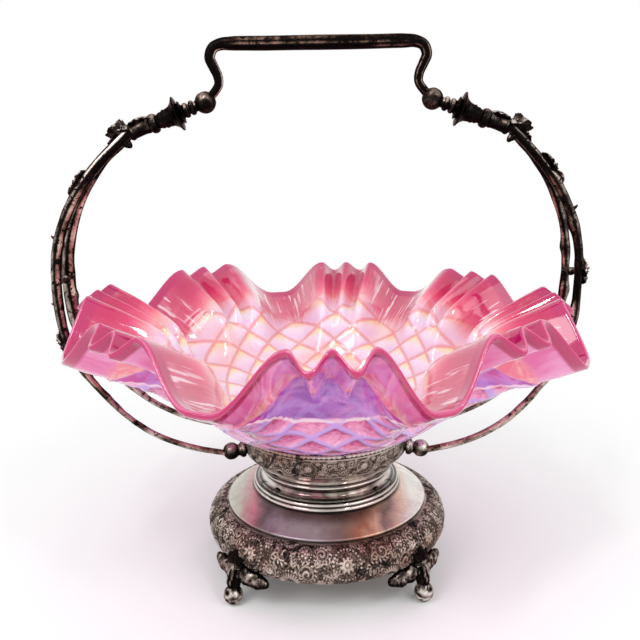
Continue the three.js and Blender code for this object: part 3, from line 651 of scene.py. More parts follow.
def lipDistance(points, rowTurn):  # millimetres in from the lip, measured down each column
    grid = points.reshape(len(rowTurn), -1, 3)
    steps = np.linalg.norm(np.diff(grid, axis=0), axis=2)
    total = np.vstack([np.zeros(steps.shape[1]), np.cumsum(steps, axis=0)])
    return abs(total - total[int(np.argmax(rowTurn > 0))]).ravel()


def bowlPlace(across, along):
    rowShare, rowTurn, rowDistance = bowlRows()
    row = np.round(along * (len(rowShare) - 1)).astype(int)
    share, turn, distance = rowShare[row], rowTurn[row], rowDistance[row]
    columns = bowlColumns(across)
    middle = glassMiddle(columns, share)
    ahead, back = [glassMiddle(columns, np.clip(share + step, 0, 1)) for step in (0.01, -0.01)]
    run = (ahead - back) / np.linalg.norm(ahead - back, axis=1)[:, None]
    normal = np.stack([-run[:, 1], run[:, 0]], axis=-1)
    lift = np.sin(turn)
    under, over = lift < -0.99, lift > 0.99
    creaseAt = bowl["creaseAt"] + bowl["creaseClimb"] * (1 - columns[1]) ** 1.5
    pattern = quiltSteps(columns[0], distance)
    raised, grooves = bowlRelief(pattern, distance, creaseAt)
    half = bowl["thickness"] / 2
    flat = middle + normal * (half * lift - raised * under - grooves * over)[:, None]
    flat += run * (bowl["lipRound"] * np.cos(turn) * (abs(lift) < 0.99))[:, None]
    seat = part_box("glass_bowl")[0].z / mm + half
    angle = np.radians(columns[0])
    points = polarPoints(flat[:, 0], angle, flat[:, 1] + seat)
    wave = ripple(points, bowl["waveLength"], 5) * bowl["wave"]
    wave *= smooth(distance, *bowl["waveFrom"]) * (under | over)
    points += polarPoints(normal[:, 0], angle, normal[:, 1]) * wave[:, None]
    fields = {
        "edge": lipDistance(points, rowTurn),
        "upper": smooth(lift, -0.3, 0.6),  # 1 on the bowl's inside
        "lobe": columns[1],  # 1 in a lobe, 0 in a valley
        "crest": columns[2],  # 0 in a crimp's dip
        "over": distance - creaseAt,  # millimetres past the crease on the way to the lip
    }
    return points, fields, pattern


bowlRowCount = len(bowlRows()[0]) - 1
bowlColumnCount = bowl["lobes"] * (2 * bowl["flankColumns"] + bowl["crimpColumns"])
bowlMesh = gridMesh("glassBowl", bowlColumnCount, bowlRowCount, bowlPlace)
addPiece("glassBowl", bowlMesh, glassLook, ["glass_bowl"], "bowl")
print("glass bowl made:", len(bowlMesh.polygons), "faces")


# Embossed bands: the pattern is a set of raised dabs, each (x, y, half length, half width, turn, height)
emboss = dict(
    repeatLength=55.4, repeatHeight=24, ground=-0.4, margin=1.1, edgeBeads=36,
    # x, y, radius, count, half length, half width, height, then where the ring starts and how far it runs
    rings=[(10, 12.5, 7.4, 26, 0.75, 0.75, 0.85), (10, 12.5, 5.7, 44, 0.5, 0.4, 0.5),
           (10, 12.5, 2.1, 9, 0.6, 0.4, 1.0, 20), (34.6, 2.2, 4.4, 13, 2.4, 0.5, 0.9, 4, 190),
           (34.6, 2.2, 7.3, 15, 0.55, 0.55, 0.75, 2, 190), (42.6, 17.6, 3.6, 16, 0.6, 0.6, 0.85)],
    # x, y, radius, petals
    flowers=[(10, 12.5, 4.4, 9), (42.6, 17.6, 2.8, 5), (19.6, 19.4, 2.7, 6), (23.6, 7.6, 2.0, 5),
             (51.4, 3.6, 2.6, 6), (1.0, 3.6, 2.0, 5), (0.6, 21, 1.8, 5), (36.8, 21.4, 1.8, 5)],
    # a spiral's dabs, the degrees it turns through, the share of its radius it closes by, and its leafy dabs
    scrollCount=40, scrollSweep=560, scrollClose=0.84, scrollLeafy=26,
    # x, y, radius, where the spiral starts, way round
    scrolls=[(23.6, 7.6, 4.6, 190, 1), (30.6, 16.4, 4.8, 10, 1), (44.2, 8.2, 4.4, 170, -1),
             (51.8, 17.6, 3.6, 30, -1)],
    # x, y, turn, length, leaves, bend
    sprays=[(15, 2, 5, 8, 6, 40), (48.5, 11.4, 60, 8, 6, -50), (23, 13.6, 20, 7, 5, 60),
            (1.5, 6.6, 60, 7, 5, -40), (36.6, 10.6, 80, 8, 6, 30), (12, 22, -10, 8, 5, 20),
            (28, 22, -20, 8, 5, 20), (53, 9, -60, 7, 5, 50), (46, 2.2, -5, 6, 4, 30)],
    # count, half widths, longest against the width, heights; the low ones fill the ground with tarnish
    grains=[(700, (0.34, 0.62), 3.2, (0.22, 0.62)), (320, (0.5, 0.9), 2, (0.16, 0.25))],
)


def ringDabs(x, y, radius, count, long, wide, height, start=0, spread=360):
    turns = [math.radians(start + spread * step / count) for step in range(count)]
    return [(x + radius * math.cos(turn), y + radius * math.sin(turn), long, wide, turn, height)
            for turn in turns]


def flowerDabs(x, y, radius, petals):
    dabs = ringDabs(x, y, radius * 0.6, petals, radius * 0.42, radius * 1.7 / petals, 0.85)
    return dabs + [(x, y, radius * 0.26, radius * 0.26, 0, 1.0)]


def scrollDabs(x, y, radius, start, way):  # a spiral stem with leaflets along its outside
    dabs = []
    count = emboss["scrollCount"]
    for step in range(count):
        share = step / (count - 1)
        turn = math.radians(start + way * emboss["scrollSweep"] * share)
        reach = radius * (1 - emboss["scrollClose"] * share)
        stem = (x + reach * math.cos(turn), y + reach * math.sin(turn))
        dabs.append((*stem, 0.62, 0.62, 0, 0.62 + 0.3 * share))
        if step < emboss["scrollLeafy"] and step % 2 == 0:
            leaflet = (stem[0] + 1.5 * math.cos(turn), stem[1] + 1.5 * math.sin(turn))
            dabs.append((*leaflet, 1.35, 0.55, turn + way * 0.8, 0.85))
    return dabs


def sprayDabs(x, y, turn, length, leaves, bend):  # leaflets either side of a bent stalk
    dabs = []
    for step in range(leaves):
        share = (step + 0.5) / leaves
        heading = math.radians(turn + bend * share)
        stalk = (x + length * share * math.cos(heading), y + length * share * math.sin(heading))
        size = 1.0 - 0.4 * share
        for lean in (heading - 0.85, heading + 0.85):
            leaflet = (stalk[0] + 1.3 * size * math.cos(lean), stalk[1] + 1.3 * size * math.sin(lean))
            dabs.append((*leaflet, 1.4 * size, 0.6 * size, lean, 0.8))
        dabs.append((*stalk, 0.8, 0.4, heading, 0.6))
    return dabs


def patternDabs():
    length, tall, beads = [emboss[key] for key in ("repeatLength", "repeatHeight", "edgeBeads")]
    kinds = {"rings": ringDabs, "flowers": flowerDabs, "scrolls": scrollDabs, "sprays": sprayDabs}
    dabs = [dab for kind, maker in kinds.items() for spec in emboss[kind] for dab in maker(*spec)]
    for y in (0.9, tall - 0.9):
        dabs += [(length * step / beads, y, 0.7, 0.55, 0, 0.7) for step in range(beads)]
    random = np.random.default_rng(8)
    for count, sizes, longest, heights in emboss["grains"]:
        for _ in range(count):
            size = random.uniform(*sizes)
            middle = (random.uniform(0, length), random.uniform(0, tall))
            dabs.append((*middle, size * random.uniform(1, longest), size, random.uniform(0, math.pi),
                         random.uniform(*heights)))
    return dabs


def reliefAt(x, y, dabs):
    length = emboss["repeatLength"]
    best = np.zeros(len(x))
    for middleX, middleY, long, wide, turn, height in dabs:
        overX = (x - middleX + length / 2) % length - length / 2
        overY = y - middleY
        first = (overX * math.cos(turn) + overY * math.sin(turn)) / long
        second = (overY * math.cos(turn) - overX * math.sin(turn)) / wide
        best = np.maximum(best, height * np.sqrt(np.clip(1 - first * first - second * second, 0, 1)))
    return best


def embossedMesh(name, outside, inside, spec):  # lines of [radius, height]; the outer one is embossed
    profile = np.array([*outside, *inside, outside[0]], float)
    count = len(outside)
    line = profile[:count]
    climb = np.concatenate([[0], np.cumsum(np.linalg.norm(np.diff(line, axis=0), axis=1))])
    run = np.gradient(line, axis=0)
    normal = np.stack([run[:, 1], -run[:, 0]], axis=1) / np.linalg.norm(run, axis=1)[:, None]
    dabs = patternDabs()
    margin = emboss["margin"]

    def place(across, along):
        row = np.round(along * (len(profile) - 1)).astype(int)
        mark = np.minimum(row, count - 1)
        up = climb[mark]
        fade = smooth(up, climb[-1] - margin, climb[-1] - margin * 0.6)
        shown = smooth(up, margin * 0.6, margin) * (1 - fade) * (row < count)
        raised = np.zeros(len(row))
        at = shown > 0
        raised[at] = reliefAt(across[at] * spec["repeats"] * emboss["repeatLength"],
                              up[at] / climb[-1] * emboss["repeatHeight"], dabs)
        spot = polarPoints(profile[row, 0], fullTurn * across, profile[row, 1])
        raised *= 0.84 + 0.16 * ripple(spot, 9, 12)
        lift = (emboss["ground"] + spec["depth"] * raised) * shown
        radius, height = (profile[row] + normal[mark] * lift[:, None]).T
        fields = {"relief": np.where(shown > 0.5, raised, 0.62)}
        return polarPoints(radius, fullTurn * across, height), fields, None

    return gridMesh(name, spec["columns"], len(profile) - 1, place)


foot = dict(
    clearance=20.2, rimRadius=65.7, widestRadius=70.6, widestHeight=8.2, height=18.9, wall=1.6, ledge=4,
    topRadius=58.7, lowerRows=33, upperRows=50, columns=1440, repeats=8, depth=0.95,
)


def addFootBand():
    rim, widest, crown, wall = [foot[key] for key in ("rimRadius", "widestRadius", "topRadius", "wall")]
    belly, top = [foot["clearance"] + foot[key] for key in ("widestHeight", "height")]
    outside = []
    for turn in np.radians(np.linspace(0, 90, foot["lowerRows"])):
        height = belly - foot["widestHeight"] * math.cos(turn)
        outside.append((rim + (widest - rim) * math.sin(turn), height))
    for turn in np.radians(np.linspace(0, 90, foot["upperRows"]))[1:]:
        outside.append((crown + (widest - crown) * math.cos(turn), belly + (top - belly) * math.sin(turn)))
    inside = [(crown - foot["ledge"], top), (crown - foot["ledge"], top - wall)]
    inside += [(radius - wall, height - wall * 0.2) for radius, height in outside[-6:2:-8]]
    mesh = embossedMesh("footBand", outside, inside, foot)
    addPiece("footBand", mesh, embossedSilver, ["foot_band"])


gallery = dict(
    footRadius=46.6, bellyRadius=49, rimRadius=49.8, height=12, wall=1.5, bottom=70.0, rows=46, columns=1200,
    repeats=10, depth=0.72, beads=118, beadRadius=1.33, threadRadius=0.85, threadSides=8,
)


def addGallery():
    bottom, wall, rim = gallery["bottom"], gallery["wall"], gallery["rimRadius"]
    top, belly, floor = bottom + gallery["height"], bottom + 6.6, bottom + wall
    line = [(gallery["footRadius"], bottom), (48.3, bottom + 2.64), (gallery["bellyRadius"], belly),
            (rim, top)]
    inner = gallery["footRadius"] - wall
    inside = [(rim - wall * 0.3, top), (rim - wall, top - 0.3), (gallery["bellyRadius"] - wall, belly),
              (inner, bottom + wall * 1.4), (inner - 1, floor), (30, floor), (12, floor), (0, floor),
              (0, bottom), (20, bottom), (40, bottom)]
    mesh = embossedMesh("galleryCup", splineLine(line, gallery["rows"]), inside, gallery)
    addPiece("galleryCup", mesh, embossedSilver, ["gallery"])


def addGalleryBead():
    radius, height, beads = gallery["rimRadius"], nodeMiddle("gallery_bead")[2], gallery["beads"]
    thread = gallery["threadRadius"]
    turns = np.radians(np.linspace(0, 360, gallery["threadSides"] + 1))[:-1]
    ring = [(radius + thread * math.cos(turn), height + thread * math.sin(turn)) for turn in turns]
    form = turnedForm(ring, 2 * beads)
    for angle in np.arange(beads) * fullTurn / beads:
        spot = Vector(polarPoints(radius, angle, height)) * mm
        bmesh.ops.create_icosphere(form, subdivisions=2, radius=gallery["beadRadius"] * mm,
                                   matrix=Matrix.Translation(spot))
    mesh = finishForm(form, "galleryBead")
    addFields(mesh, {"relief": np.full(len(mesh.vertices), 0.7)})
    addPiece("galleryBead", mesh, embossedSilver, ["gallery_bead"])


addFootBand()
addGallery()
addGalleryBead()
print("embossed bands made")


# Polished foot: shoulder, double ring and neck, each spun from its section of [radius, height]; the grooves
# and bands darkened by tarnish and painted dark reflection are [radius, height, size]
polished = dict(
    polishedShoulder=dict(
        node="shoulder",
        line=[(57.1, 39.4), *arcLine((58.2, 39.5), (58.1, 41.2), 0.55, 7),
              *splineLine([(58.2, 41.2), (51.15, 44.0), (43.6, 47.6), (41.1, 48.0)], 16)[1:],
              (41.1, 46.4), (43.6, 46.0), (51.15, 42.4), (56.4, 40.2)],
        grooves=[(58.7, 39.4, 0.9), (43.2, 47.9, 0.8)]),
    ringMoulding=dict(
        node="ring_moulding",
        line=[(42.4, 48.3), *arcLine((42.9, 48.4), (42.7, 50.6), 0.8, 8),
              *arcLine((42.3, 50.9), (41.7, 52.7), 0.75, 7), (38.6, 52.7), (38.6, 48.3)],
        grooves=[(42.6, 50.75, 0.55), (42.6, 48.3, 0.6), (41.7, 52.8, 0.5)]),
    polishedNeck=dict(
        node="neck",
        line=[*splineLine([(40.6, 53.0), (37.8, 54.67), (36.8, 56.67), (37.5, 58.5), (38.5, 59.4)], 18),
              *arcLine((38.55, 59.55), (38.75, 61.1), 0.75, 8),
              *splineLine([(38.8, 61.4), (39.5, 63.0), (42.6, 66.2), (45.2, 68.9), (46.0, 69.7)], 18),
              (44.7, 69.7), (41.6, 67.2), (37.8, 63.0), (36.6, 59.6), (35.2, 57.0), (36.2, 54.7),
              (39.0, 53.0)],
        grooves=[(38.5, 59.4, 0.6), (38.9, 62.0, 1.0), (36.9, 57.4, 0.9), (39.4, 53.6, 1.2),
                 (46, 69.8, 0.6)]),
)


def addPolished(name, node, line, grooves):
    mesh = finishForm(turnedForm(line, 256), name, 40)
    points = meshPoints(mesh)
    radius = np.hypot(points[:, 0], points[:, 1])
    dark = np.zeros(len(points))
    for markRadius, markHeight, size in grooves:
        away = np.hypot(radius - markRadius, points[:, 2] - markHeight)
        dark = np.maximum(dark, hump(away, 0, size))
    addFields(mesh, {"groove": dark})
    addPiece(name, mesh, polishedSilver, [node])


for name, spec in polished.items():
    addPolished(name, **spec)
print("polished foot made")


# Castings: balls and rods run together into one smooth skin
def addBlob(form, middle, radii, turn=(0, 0, 0), detail=3):
    turned = Euler([math.radians(a) for a in turn]).to_matrix().to_4x4()
    shape = Matrix.Translation(Vector(middle) * mm) @ turned @ Matrix.Diagonal((*radii, 1))
    bmesh.ops.create_icosphere(form, subdivisions=detail, radius=mm, matrix=shape)


def addRod(form, line, radii, count):  # balls close together along a bent line
    sizes = np.interp(np.linspace(0, 1, count), np.linspace(0, 1, len(radii)), radii)
    for middle, size in zip(splineLine(line, count), sizes):
        addBlob(form, middle, (size, size, size), detail=2)


def melted(form, name, voxel, passes=2):
    rough = finishForm(form, name + "Rough")
    holder = addObject(name + "Rough", rough)
    melt = holder.modifiers.new("melt", "REMESH")
    melt.mode = "VOXEL"
    melt.voxel_size = voxel * mm
    soften = holder.modifiers.new("soften", "SMOOTH")
    soften.iterations = passes
    mesh = bpy.data.meshes.new_from_object(holder.evaluated_get(bpy.context.evaluated_depsgraph_get()))
    bpy.data.objects.remove(holder)
    bpy.data.meshes.remove(rough)
    mesh.name = name
    mesh.polygons.foreach_set("use_smooth", [True] * len(mesh.polygons))
    return mesh


def leafForm(length, width, thickness, teeth=5, cup=0.18, bend=0.15):  # lies along X from 0, face towards Z
    form = bmesh.new()
    bmesh.ops.create_uvsphere(form, u_segments=40, v_segments=30, radius=1)
    for vert in form.verts:
        along = (1 - vert.co.z) / 2
        round = math.hypot(vert.co.x, vert.co.y)
        side = vert.co.x / max(round, 0.001)
        full = round ** 1.3 * (1 + 0.35 * (0.5 - along))
        notch = 1 + 0.2 * ((teeth * along) % 1 - 0.5) * side * side
        vein = 0.25 * thickness * math.cos(fullTurn * (along * teeth - abs(side) * 0.8)) * abs(side)
        rib = 0.55 * thickness * math.exp(-(side / 0.18) ** 2)
        face = 0.5 + 0.5 * (vert.co.y > 0)
        rise = length * bend * math.sin(math.pi * along) + cup * width * side * side * round
        rise += vert.co.y * thickness / 2 + (vein + rib) * round * face
        vert.co = Vector((along * length, side * full * notch * width / 2, rise)) * mm
    return form


def addLeaf(form, way, up, origin, *sizes, **shape):
    addForm(form, placeForm(leafForm(*sizes, **shape), basis(way, up, origin)))


# Feet: a ball toe, a leaning stem with a narrow leaf in front, rounded lobes and a spiky leaf on the band
casting = dict(
    toe=((73.4, 0, 5.5), (5.3, 5.2, 5.5)), knee=((67.6, 0, 19.2), (3.4, 8.2, 4.6), (0, -12, 0)),
    stem=[(73.2, 0, 8.5), (70.8, 0, 14), (68.2, 0, 20), (67.6, 0, 23)], stemRadii=[3.0, 3.4, 4.2, 4.2],
    # one side's row of lobes; the other side is its mirror image
    lobes=[(69.4, 4, 18.6), (69.2, 9, 17.6), (68, 14, 17.2), (66.8, 19, 17.4)],
    lobeSizes=[4.4, 4.9, 5.3, 4.6, 4.1, 4.5, 4.7, 4.1, 3.3, 2.6],
    # turn, length and width of each tip of the leaf on the band
    spikes=[(0, 10, 5.4), (40, 8.6, 4.4), (-40, 8.6, 4.4), (80, 6.6, 3.8), (-80, 6.6, 3.8)],
    # heights over which toe and stem run into what is above them, and the height the toe's silver reaches
    carvedFrom=(9, 13), toeTo=(9, 11), spikyFrom=(22.5, 24), bareTo=11,
    voxel=0.45, corners=dict(front_left=-135, front_right=-45, back_right=45, back_left=135),
)


def footMesh():
    form = bmesh.new()
    addBlob(form, *casting["toe"], detail=4)
    addRod(form, casting["stem"], casting["stemRadii"], 14)
    addBlob(form, *casting["knee"])
    for side in (-1, 1):
        line = [(away, side * aside, up) for away, aside, up in casting["lobes"]]
        for middle, size in zip(splineLine(line, len(casting["lobeSizes"])), casting["lobeSizes"]):
            addBlob(form, middle, (size * 0.6, 3.4, size), (0, -14, 0), detail=4)
    addLeaf(form, (0.28, 0, -0.96), (0.96, 0, 0.28), (71.2, 0, 23.5), 15, 5.6, 2.4, teeth=2, cup=0.1,
            bend=0.08)
    for turn, length, width in casting["spikes"]:
        way = wayAt(turn, Vector((-0.16, 0, 1)), Vector((0, 1, 0)))
        addLeaf(form, way, (1, 0, 0.2), (71.4, 0, 22.0), length, width, 1.5, teeth=1, cup=0.1, bend=0.06)
    return melted(form, "foot", casting["voxel"], 3)


def addFeet():
    pattern = footMesh()
    points = meshPoints(pattern)
    carved = ripple(points * (1, 1, 0.5), 5, 3) * 0.16 + ripple(points, 1.9, 4) * 0.05
    carved *= smooth(points[:, 2], *casting["carvedFrom"])
    normals = meshNormals(pattern)
    points += normals * carved[:, None]
    points[:, 2] = np.maximum(points[:, 2], 0)
    toe = 1 - smooth(points[:, 2], *casting["toeTo"])
    spiky = smooth(points[:, 2], *casting["spikyFrom"])
    facing = smooth(normals @ (0.9, 0, 0.43), 0.7, 0.9)  # faces turned outward and up are lighter, a painted highlight, and their edges stay black
    worn = 0.08 + facing * (0.43 + 0.16 * ripple(points, 5, 6)) * (1 - 0.85 * spiky)
    worn += 0.4 * np.maximum(carved, 0)
    worn = worn * (1 - toe) + (0.58 + 0.34 * ripple(points, 4.5, 9)) * toe
    bare = np.where(points[:, 2] < casting["bareTo"], 0.9, 0.75)
    for place, turn in casting["corners"].items():
        mesh = pattern.copy()
        away, aside, up = points.T
        movePoints(mesh, np.stack([wayAt(turn, away, -aside), wayAt(turn, aside, away), up], axis=1))
        addFields(mesh, {"worn": worn, "bare": bare})
        addPiece(pieceName("foot_" + place), mesh, darkSilver, ["foot_" + place])


addFeet()
print("feet made")


# Branch wires and grip: rods swept along the CAD rods' middle lines
rodReach = 1.6


def rodFrames(centres, steps, reach):  # reach: how far the rod runs on into what it meets at each end
    first, last = centres[0] - centres[1], centres[-1] - centres[-2]
    centres = centres.copy()
    centres[0] += first / np.linalg.norm(first) * reach
    centres[-1] += last / np.linalg.norm(last) * reach
    share = np.linspace(0, 1, steps + 1)
    middle = splinePoint(centres, share)
    along = np.gradient(middle, axis=0)
    along /= np.linalg.norm(along, axis=1)[:, None]
    outward = np.zeros_like(middle)
    outward[:, 1] = -1.0
    outward -= along * (outward * along).sum(axis=1)[:, None]
    outward /= np.linalg.norm(outward, axis=1)[:, None]
    length = np.concatenate([[0], np.cumsum(np.linalg.norm(np.diff(middle, axis=0), axis=1))])
    return share, middle, outward, np.cross(along, outward), length


def sweptMesh(name, centres, sides, steps, girth):  # girth(share, length, turn) gives radius and fields
    share, middle, front, aside, length = rodFrames(centres, steps, rodReach)

    def place(across, upward):
        row = np.round(upward * (steps + 2)).astype(int)
        ring = np.clip(row - 1, 0, steps)
        turn = fullTurn * across
        radius, fields = girth(share[ring], length[ring], turn)
        radius = np.where((row == 0) | (row == steps + 2), 0, radius)
        around = front[ring] * np.cos(turn)[:, None] + aside[ring] * np.sin(turn)[:, None]
        return middle[ring] + around * radius[:, None], fields, None

    return gridMesh(name, sides, steps + 2, place)


def halfTurned(turn):  # the same turn between minus half and half a turn
    return (turn + math.pi) % fullTurn - math.pi


def barkPoints(turn, length, stretch):
    return np.stack([np.cos(turn) * 3, np.sin(turn) * 3, length * stretch], axis=1)


# the right bosses are painted lighter than the left; the left are darker from tarnish and painted shade
bosses = dict(turn=19.5, reach=57, height=75, ball=4.85, seat=49.0, voxel=0.28,
              wearLeft=(0.16, 0.6), wearRight=(0.36, 0.6, 0.9),
              line=[(0, 0), (4.2, 0), (4.6, 1.0), (4.4, 2.2), (3.4, 3.2), (3.0, 4.4), (3.2, 5.0), (0, 5.2)])
wires = dict(
    sides=24, steps=480,
    # lighter bands along the back: turn, half width, level
    backBands=[(-2.05, 0.36, 0.42), (2.8, 0.42, 0.5), (-2.8, 0.2, 0.3)],
    # thick: radii from boss to sleeve; drift: how far out the middle leans; twist: where the bands lie round
    # the section; shine and root: how light the painted reflection in front and the boss's end are; knots:
    # share, degrees, height and length
    front_left=dict(thick=[1.6, 1.6, 2.75, 3.0, 2.7], drift=1.6, twist=0, shine=0.62, root=0.46,
                    knots=[(0.31, 60, 0.4, 2.5), (0.38, 120, 0.9, 2.5), (0.46, 250, 1.0, 3),
                           (0.7, 100, 0.7, 2.5)]),
    back_left=dict(thick=[1.7, 1.7, 3.7, 3.5, 2.4], drift=3.6, twist=0.2, shine=0.6, root=0.46,
                   knots=[(0.25, 120, 0.9, 3), (0.4, 300, 0.9, 3), (0.56, 90, 1.0, 3), (0.62, 270, 0.8, 4)]),
    front_right=dict(thick=[1.8, 1.8, 2.1, 2.5, 2.5], drift=0, twist=0, shine=0.36, root=0.52,
                     knots=[(0.52, 300, 1.3, 4), (0.63, 80, 1.0, 3), (0.73, 240, 1.5, 4),
                            (0.84, 60, 1.0, 4)]),
    back_right=dict(thick=[1.8, 1.8, 2.2, 2.4, 2.1], drift=1.4, twist=0.2, shine=0.52, root=0.52,
                    knots=[(0.55, 60, 1.2, 5), (0.66, 260, 1.2, 4), (0.77, 100, 1.4, 5)]),
)


def bossPlace(place):
    turn = math.radians(bosses["turn"]) * (1 if place.startswith("back") else -1)
    side = -1 if place.endswith("left") else 1
    return side * math.cos(turn), math.sin(turn)


def wireCentres(place):
    out, deep = bossPlace(place)
    start = (bosses["reach"] * out, bosses["reach"] * deep, bosses["height"])
    centres = ringCentres("wire_" + place, 6, start)
    share = np.linspace(0, 1, len(centres))
    for _ in range(3):  # evens out the bend where the wires leave the sleeve
        centres[1:-1] = centres[1:-1] / 2 + (centres[:-2] + centres[2:]) / 4
    lean = wires[place]["drift"] * smooth(share, 0.3, 0.55) * (1 - smooth(share, 0.9, 1.0))
    centres[:, 0] += lean * np.sign(out)
    return centres


# Round a wire's section, bands that are partly wear and partly painted reflection and highlight: olive
# outside the arch, a thin dark line, pink in front, black inside the arch
def wireBands(spec, share, facing, patch):
    around = halfTurned(facing)
    low, high = 1 - smooth(share, 0.32, 0.5), smooth(share, 0.8, 0.93)
    pink = hump(around - 0.2 * low, 0.64, 0.47 + 0.45 * low, 4)
    pink *= spec["shine"] * (1 - low) + 0.64 * low + 0.2 * patch
    pink *= (1 - 0.8 * high) * smooth(share, 0.02, 0.06)
    olive = hump(around - 0.1 * high, -0.62, 0.58 - 0.2 * high, 4)
    bared = 0.8 * olive
    olive *= (0.22 + 0.42 * spec["shine"]) * (1 - low) + 0.5 * low + 0.1 * patch + 0.16 * high
    # a painted highlight line along the inner edge near the top
    rim = hump(around, 1.35, 0.2) * high * 0.5
    rubbedAndSheen = np.maximum.reduce([pink, rim, olive, spec["root"] * low])
    for middle, half, level in wires["backBands"]:
        away = halfTurned(facing - middle)
        rubbedAndSheen = np.maximum(rubbedAndSheen, level * hump(away, 0, half, 4) * (1 + 0.4 * patch))
    return rubbedAndSheen, bared


def addWire(place, seed):
    spec = wires[place]
    outer = 1 if place.endswith("left") else -1  # turns grow towards the arch's inside

    def girth(share, length, turn):
        barky = smooth(share, 0.1, 0.3)
        ridge = np.cos(3 * (turn + length * 0.03) + 1.1 * np.sin(length * 0.11 + seed)) * 0.16
        bark = ripple(barkPoints(turn, length, 0.32), 3.4, seed) * 0.2
        wander = lineRipple(length, 30, seed + 4)
        radius = np.interp(share, [0, 0.25, 0.5, 0.75, 1], spec["thick"]) * (1 + wander * 0.05)
        radius += (ridge + bark) * (0.25 + 0.5 * barky)
        for knotShare, knotTurn, high, long in spec["knots"]:
            faced = 0.5 + 0.5 * np.cos(turn - math.radians(knotTurn))
            near = hump(share * length.max(), knotShare * length.max(), long)
            radius += high * near * (0.15 + 0.85 * faced ** 2)
        facing = turn * outer - spec["twist"] + 0.14 * np.sin(length * 0.07 + seed)
        rubbedAndSheen, bared = wireBands(spec, share, facing, lineRipple(length, 16, seed + 9))
        worn = 0.06 + rubbedAndSheen + 0.24 * np.minimum(bark, 0.2) + 0.08 * wander
        return radius, {"worn": worn, "bare": bared}

    mesh = sweptMesh(pieceName("wire_" + place), wireCentres(place), wires["sides"], wires["steps"], girth)
    addPiece(mesh.name, mesh, darkSilver, ["wire_" + place])


for number, place in enumerate(("front_left", "back_left", "front_right", "back_right")):
    addWire(place, number + 2)
print("wires made")


grip = dict(
    sides=32, steps=420, shares=[0, 0.03, 0.1, 0.17, 0.23, 0.5, 0.77, 0.83, 0.9, 0.97, 1],
    radii=[2.3, 2.35, 2.75, 3.0, 3.65, 3.8, 3.65, 3.0, 2.75, 2.35, 2.3],
)


# Round the grip's section: bands that are partly wear and partly painted reflection
def gripGirth(share, length, turn):
    section = barkPoints(turn, length, 0.12)
    long = ripple(section * (1, 1, 0.3), 4, 10)
    across = halfTurned(turn)
    left, right = 1 - smooth(share, 0.17, 0.25), smooth(share, 0.77, 0.84)
    bar = (1 - left) * (1 - right)
    pink = hump(across, 0.14, 0.2) * (0.47 + 0.16 * long) * bar + hump(across, 0.6, 0.24) * 0.52 * right
    olive = hump(across, -0.85, 0.6, 4) * (0.29 + 0.08 * long) * bar
    tan = hump(across, 0.75, 0.26) * 0.5 * bar * smooth(share, 0.62, 0.7)
    # painted highlight lines along the inner edges of the uprights
    rim = hump(across, 1.0, 0.24) * 0.78 * left + hump(across, -0.62, 0.2) * 0.6 * right
    back = hump(abs(across), 3.2, 0.3) * (0.5 + 0.16 * long)
    lowBack = hump(across, -2.3, 0.4, 4) * (0.36 + 0.1 * long)
    worn = 0.1 + np.maximum.reduce([pink, olive, tan, rim, back, lowBack]) + 0.08 * long
    radius = np.interp(share, grip["shares"], grip["radii"]) + ripple(section, 5, 9) * 0.05
    return radius, {"worn": worn, "bare": np.minimum(rim + tan, 1) * 0.8}


gripCentres = ringCentres("grip_bar", 8, nodeMiddle("fitting_ball_left"))
gripMesh = sweptMesh("gripBar", gripCentres, grip["sides"], grip["steps"], gripGirth)
addPiece("gripBar", gripMesh, darkSilver, ["grip_bar"])
print("grip made")


# Fittings between grip and wires: each profile runs outward from the grip as [radius, distance]
fittings = dict(
    spool=[(0, 0), (2.8, 0), *arcLine((3.0, 0.1), (3.0, 2.8), 0.95, 9), (2.7, 3.0), (2.7, 3.4),
           *arcLine((2.9, 3.6), (3.1, 6.3), 1.1, 9), (0, 6.5)],
    disc=[(0, 0), (3.8, 0), (4.1, 0.4), (5.9, 0.7), (6.2, 1.0), (5.9, 1.3), (5.0, 1.6), (5.6, 2.1),
          (7.6, 2.5), (9.1, 2.7), (9.4, 3.0), (9.2, 3.4), (8.1, 3.9), (7.2, 4.5), (6.5, 5.2), (6.0, 5.8),
          (5.6, 6.4), (0, 6.4)],
    ribbed_spool=[(0, 0), (5.4, 0), (5.1, 1.0), (4.85, 2.2), (4.75, 3.0), (5.05, 3.4), (4.95, 3.9),
                  (4.5, 4.4), (4.3, 5.2), (4.5, 5.7), (4.3, 6.3), (3.9, 7.0), (3.8, 7.7), (0, 7.7)],
    knob=[(0, 0), (3.4, 0), *arcLine((3.9, 0.2), (3.9, 4.6), 1.4, 12), (3.4, 4.8), (0, 4.8)],
    sleeve=[(0, 0), (3.9, 0), (4.05, 0.5), (3.95, 1.4), (3.75, 2.2), (3.65, 5.0), (3.8, 8.6),
            *arcLine((3.95, 9.4), (3.95, 11.2), 0.35, 6), (3.7, 11.6), (0, 11.6)],
)
fittingWearAndSheen = dict(ball=(0.25, 0.35), spool=(0.22, 0.5), disc=(0.06, 0.3), ribbed_spool=(0.06, 0.3),
                   knob=(0.16, 0.5), sleeve=(0.12, 0.5))
fittingGap = 0.3
fittingBall = 5.75
fittingStart = 6.1
fittingSocket = [(0, -0.9), (2.8, -0.9)]  # sunk into the fitting before it


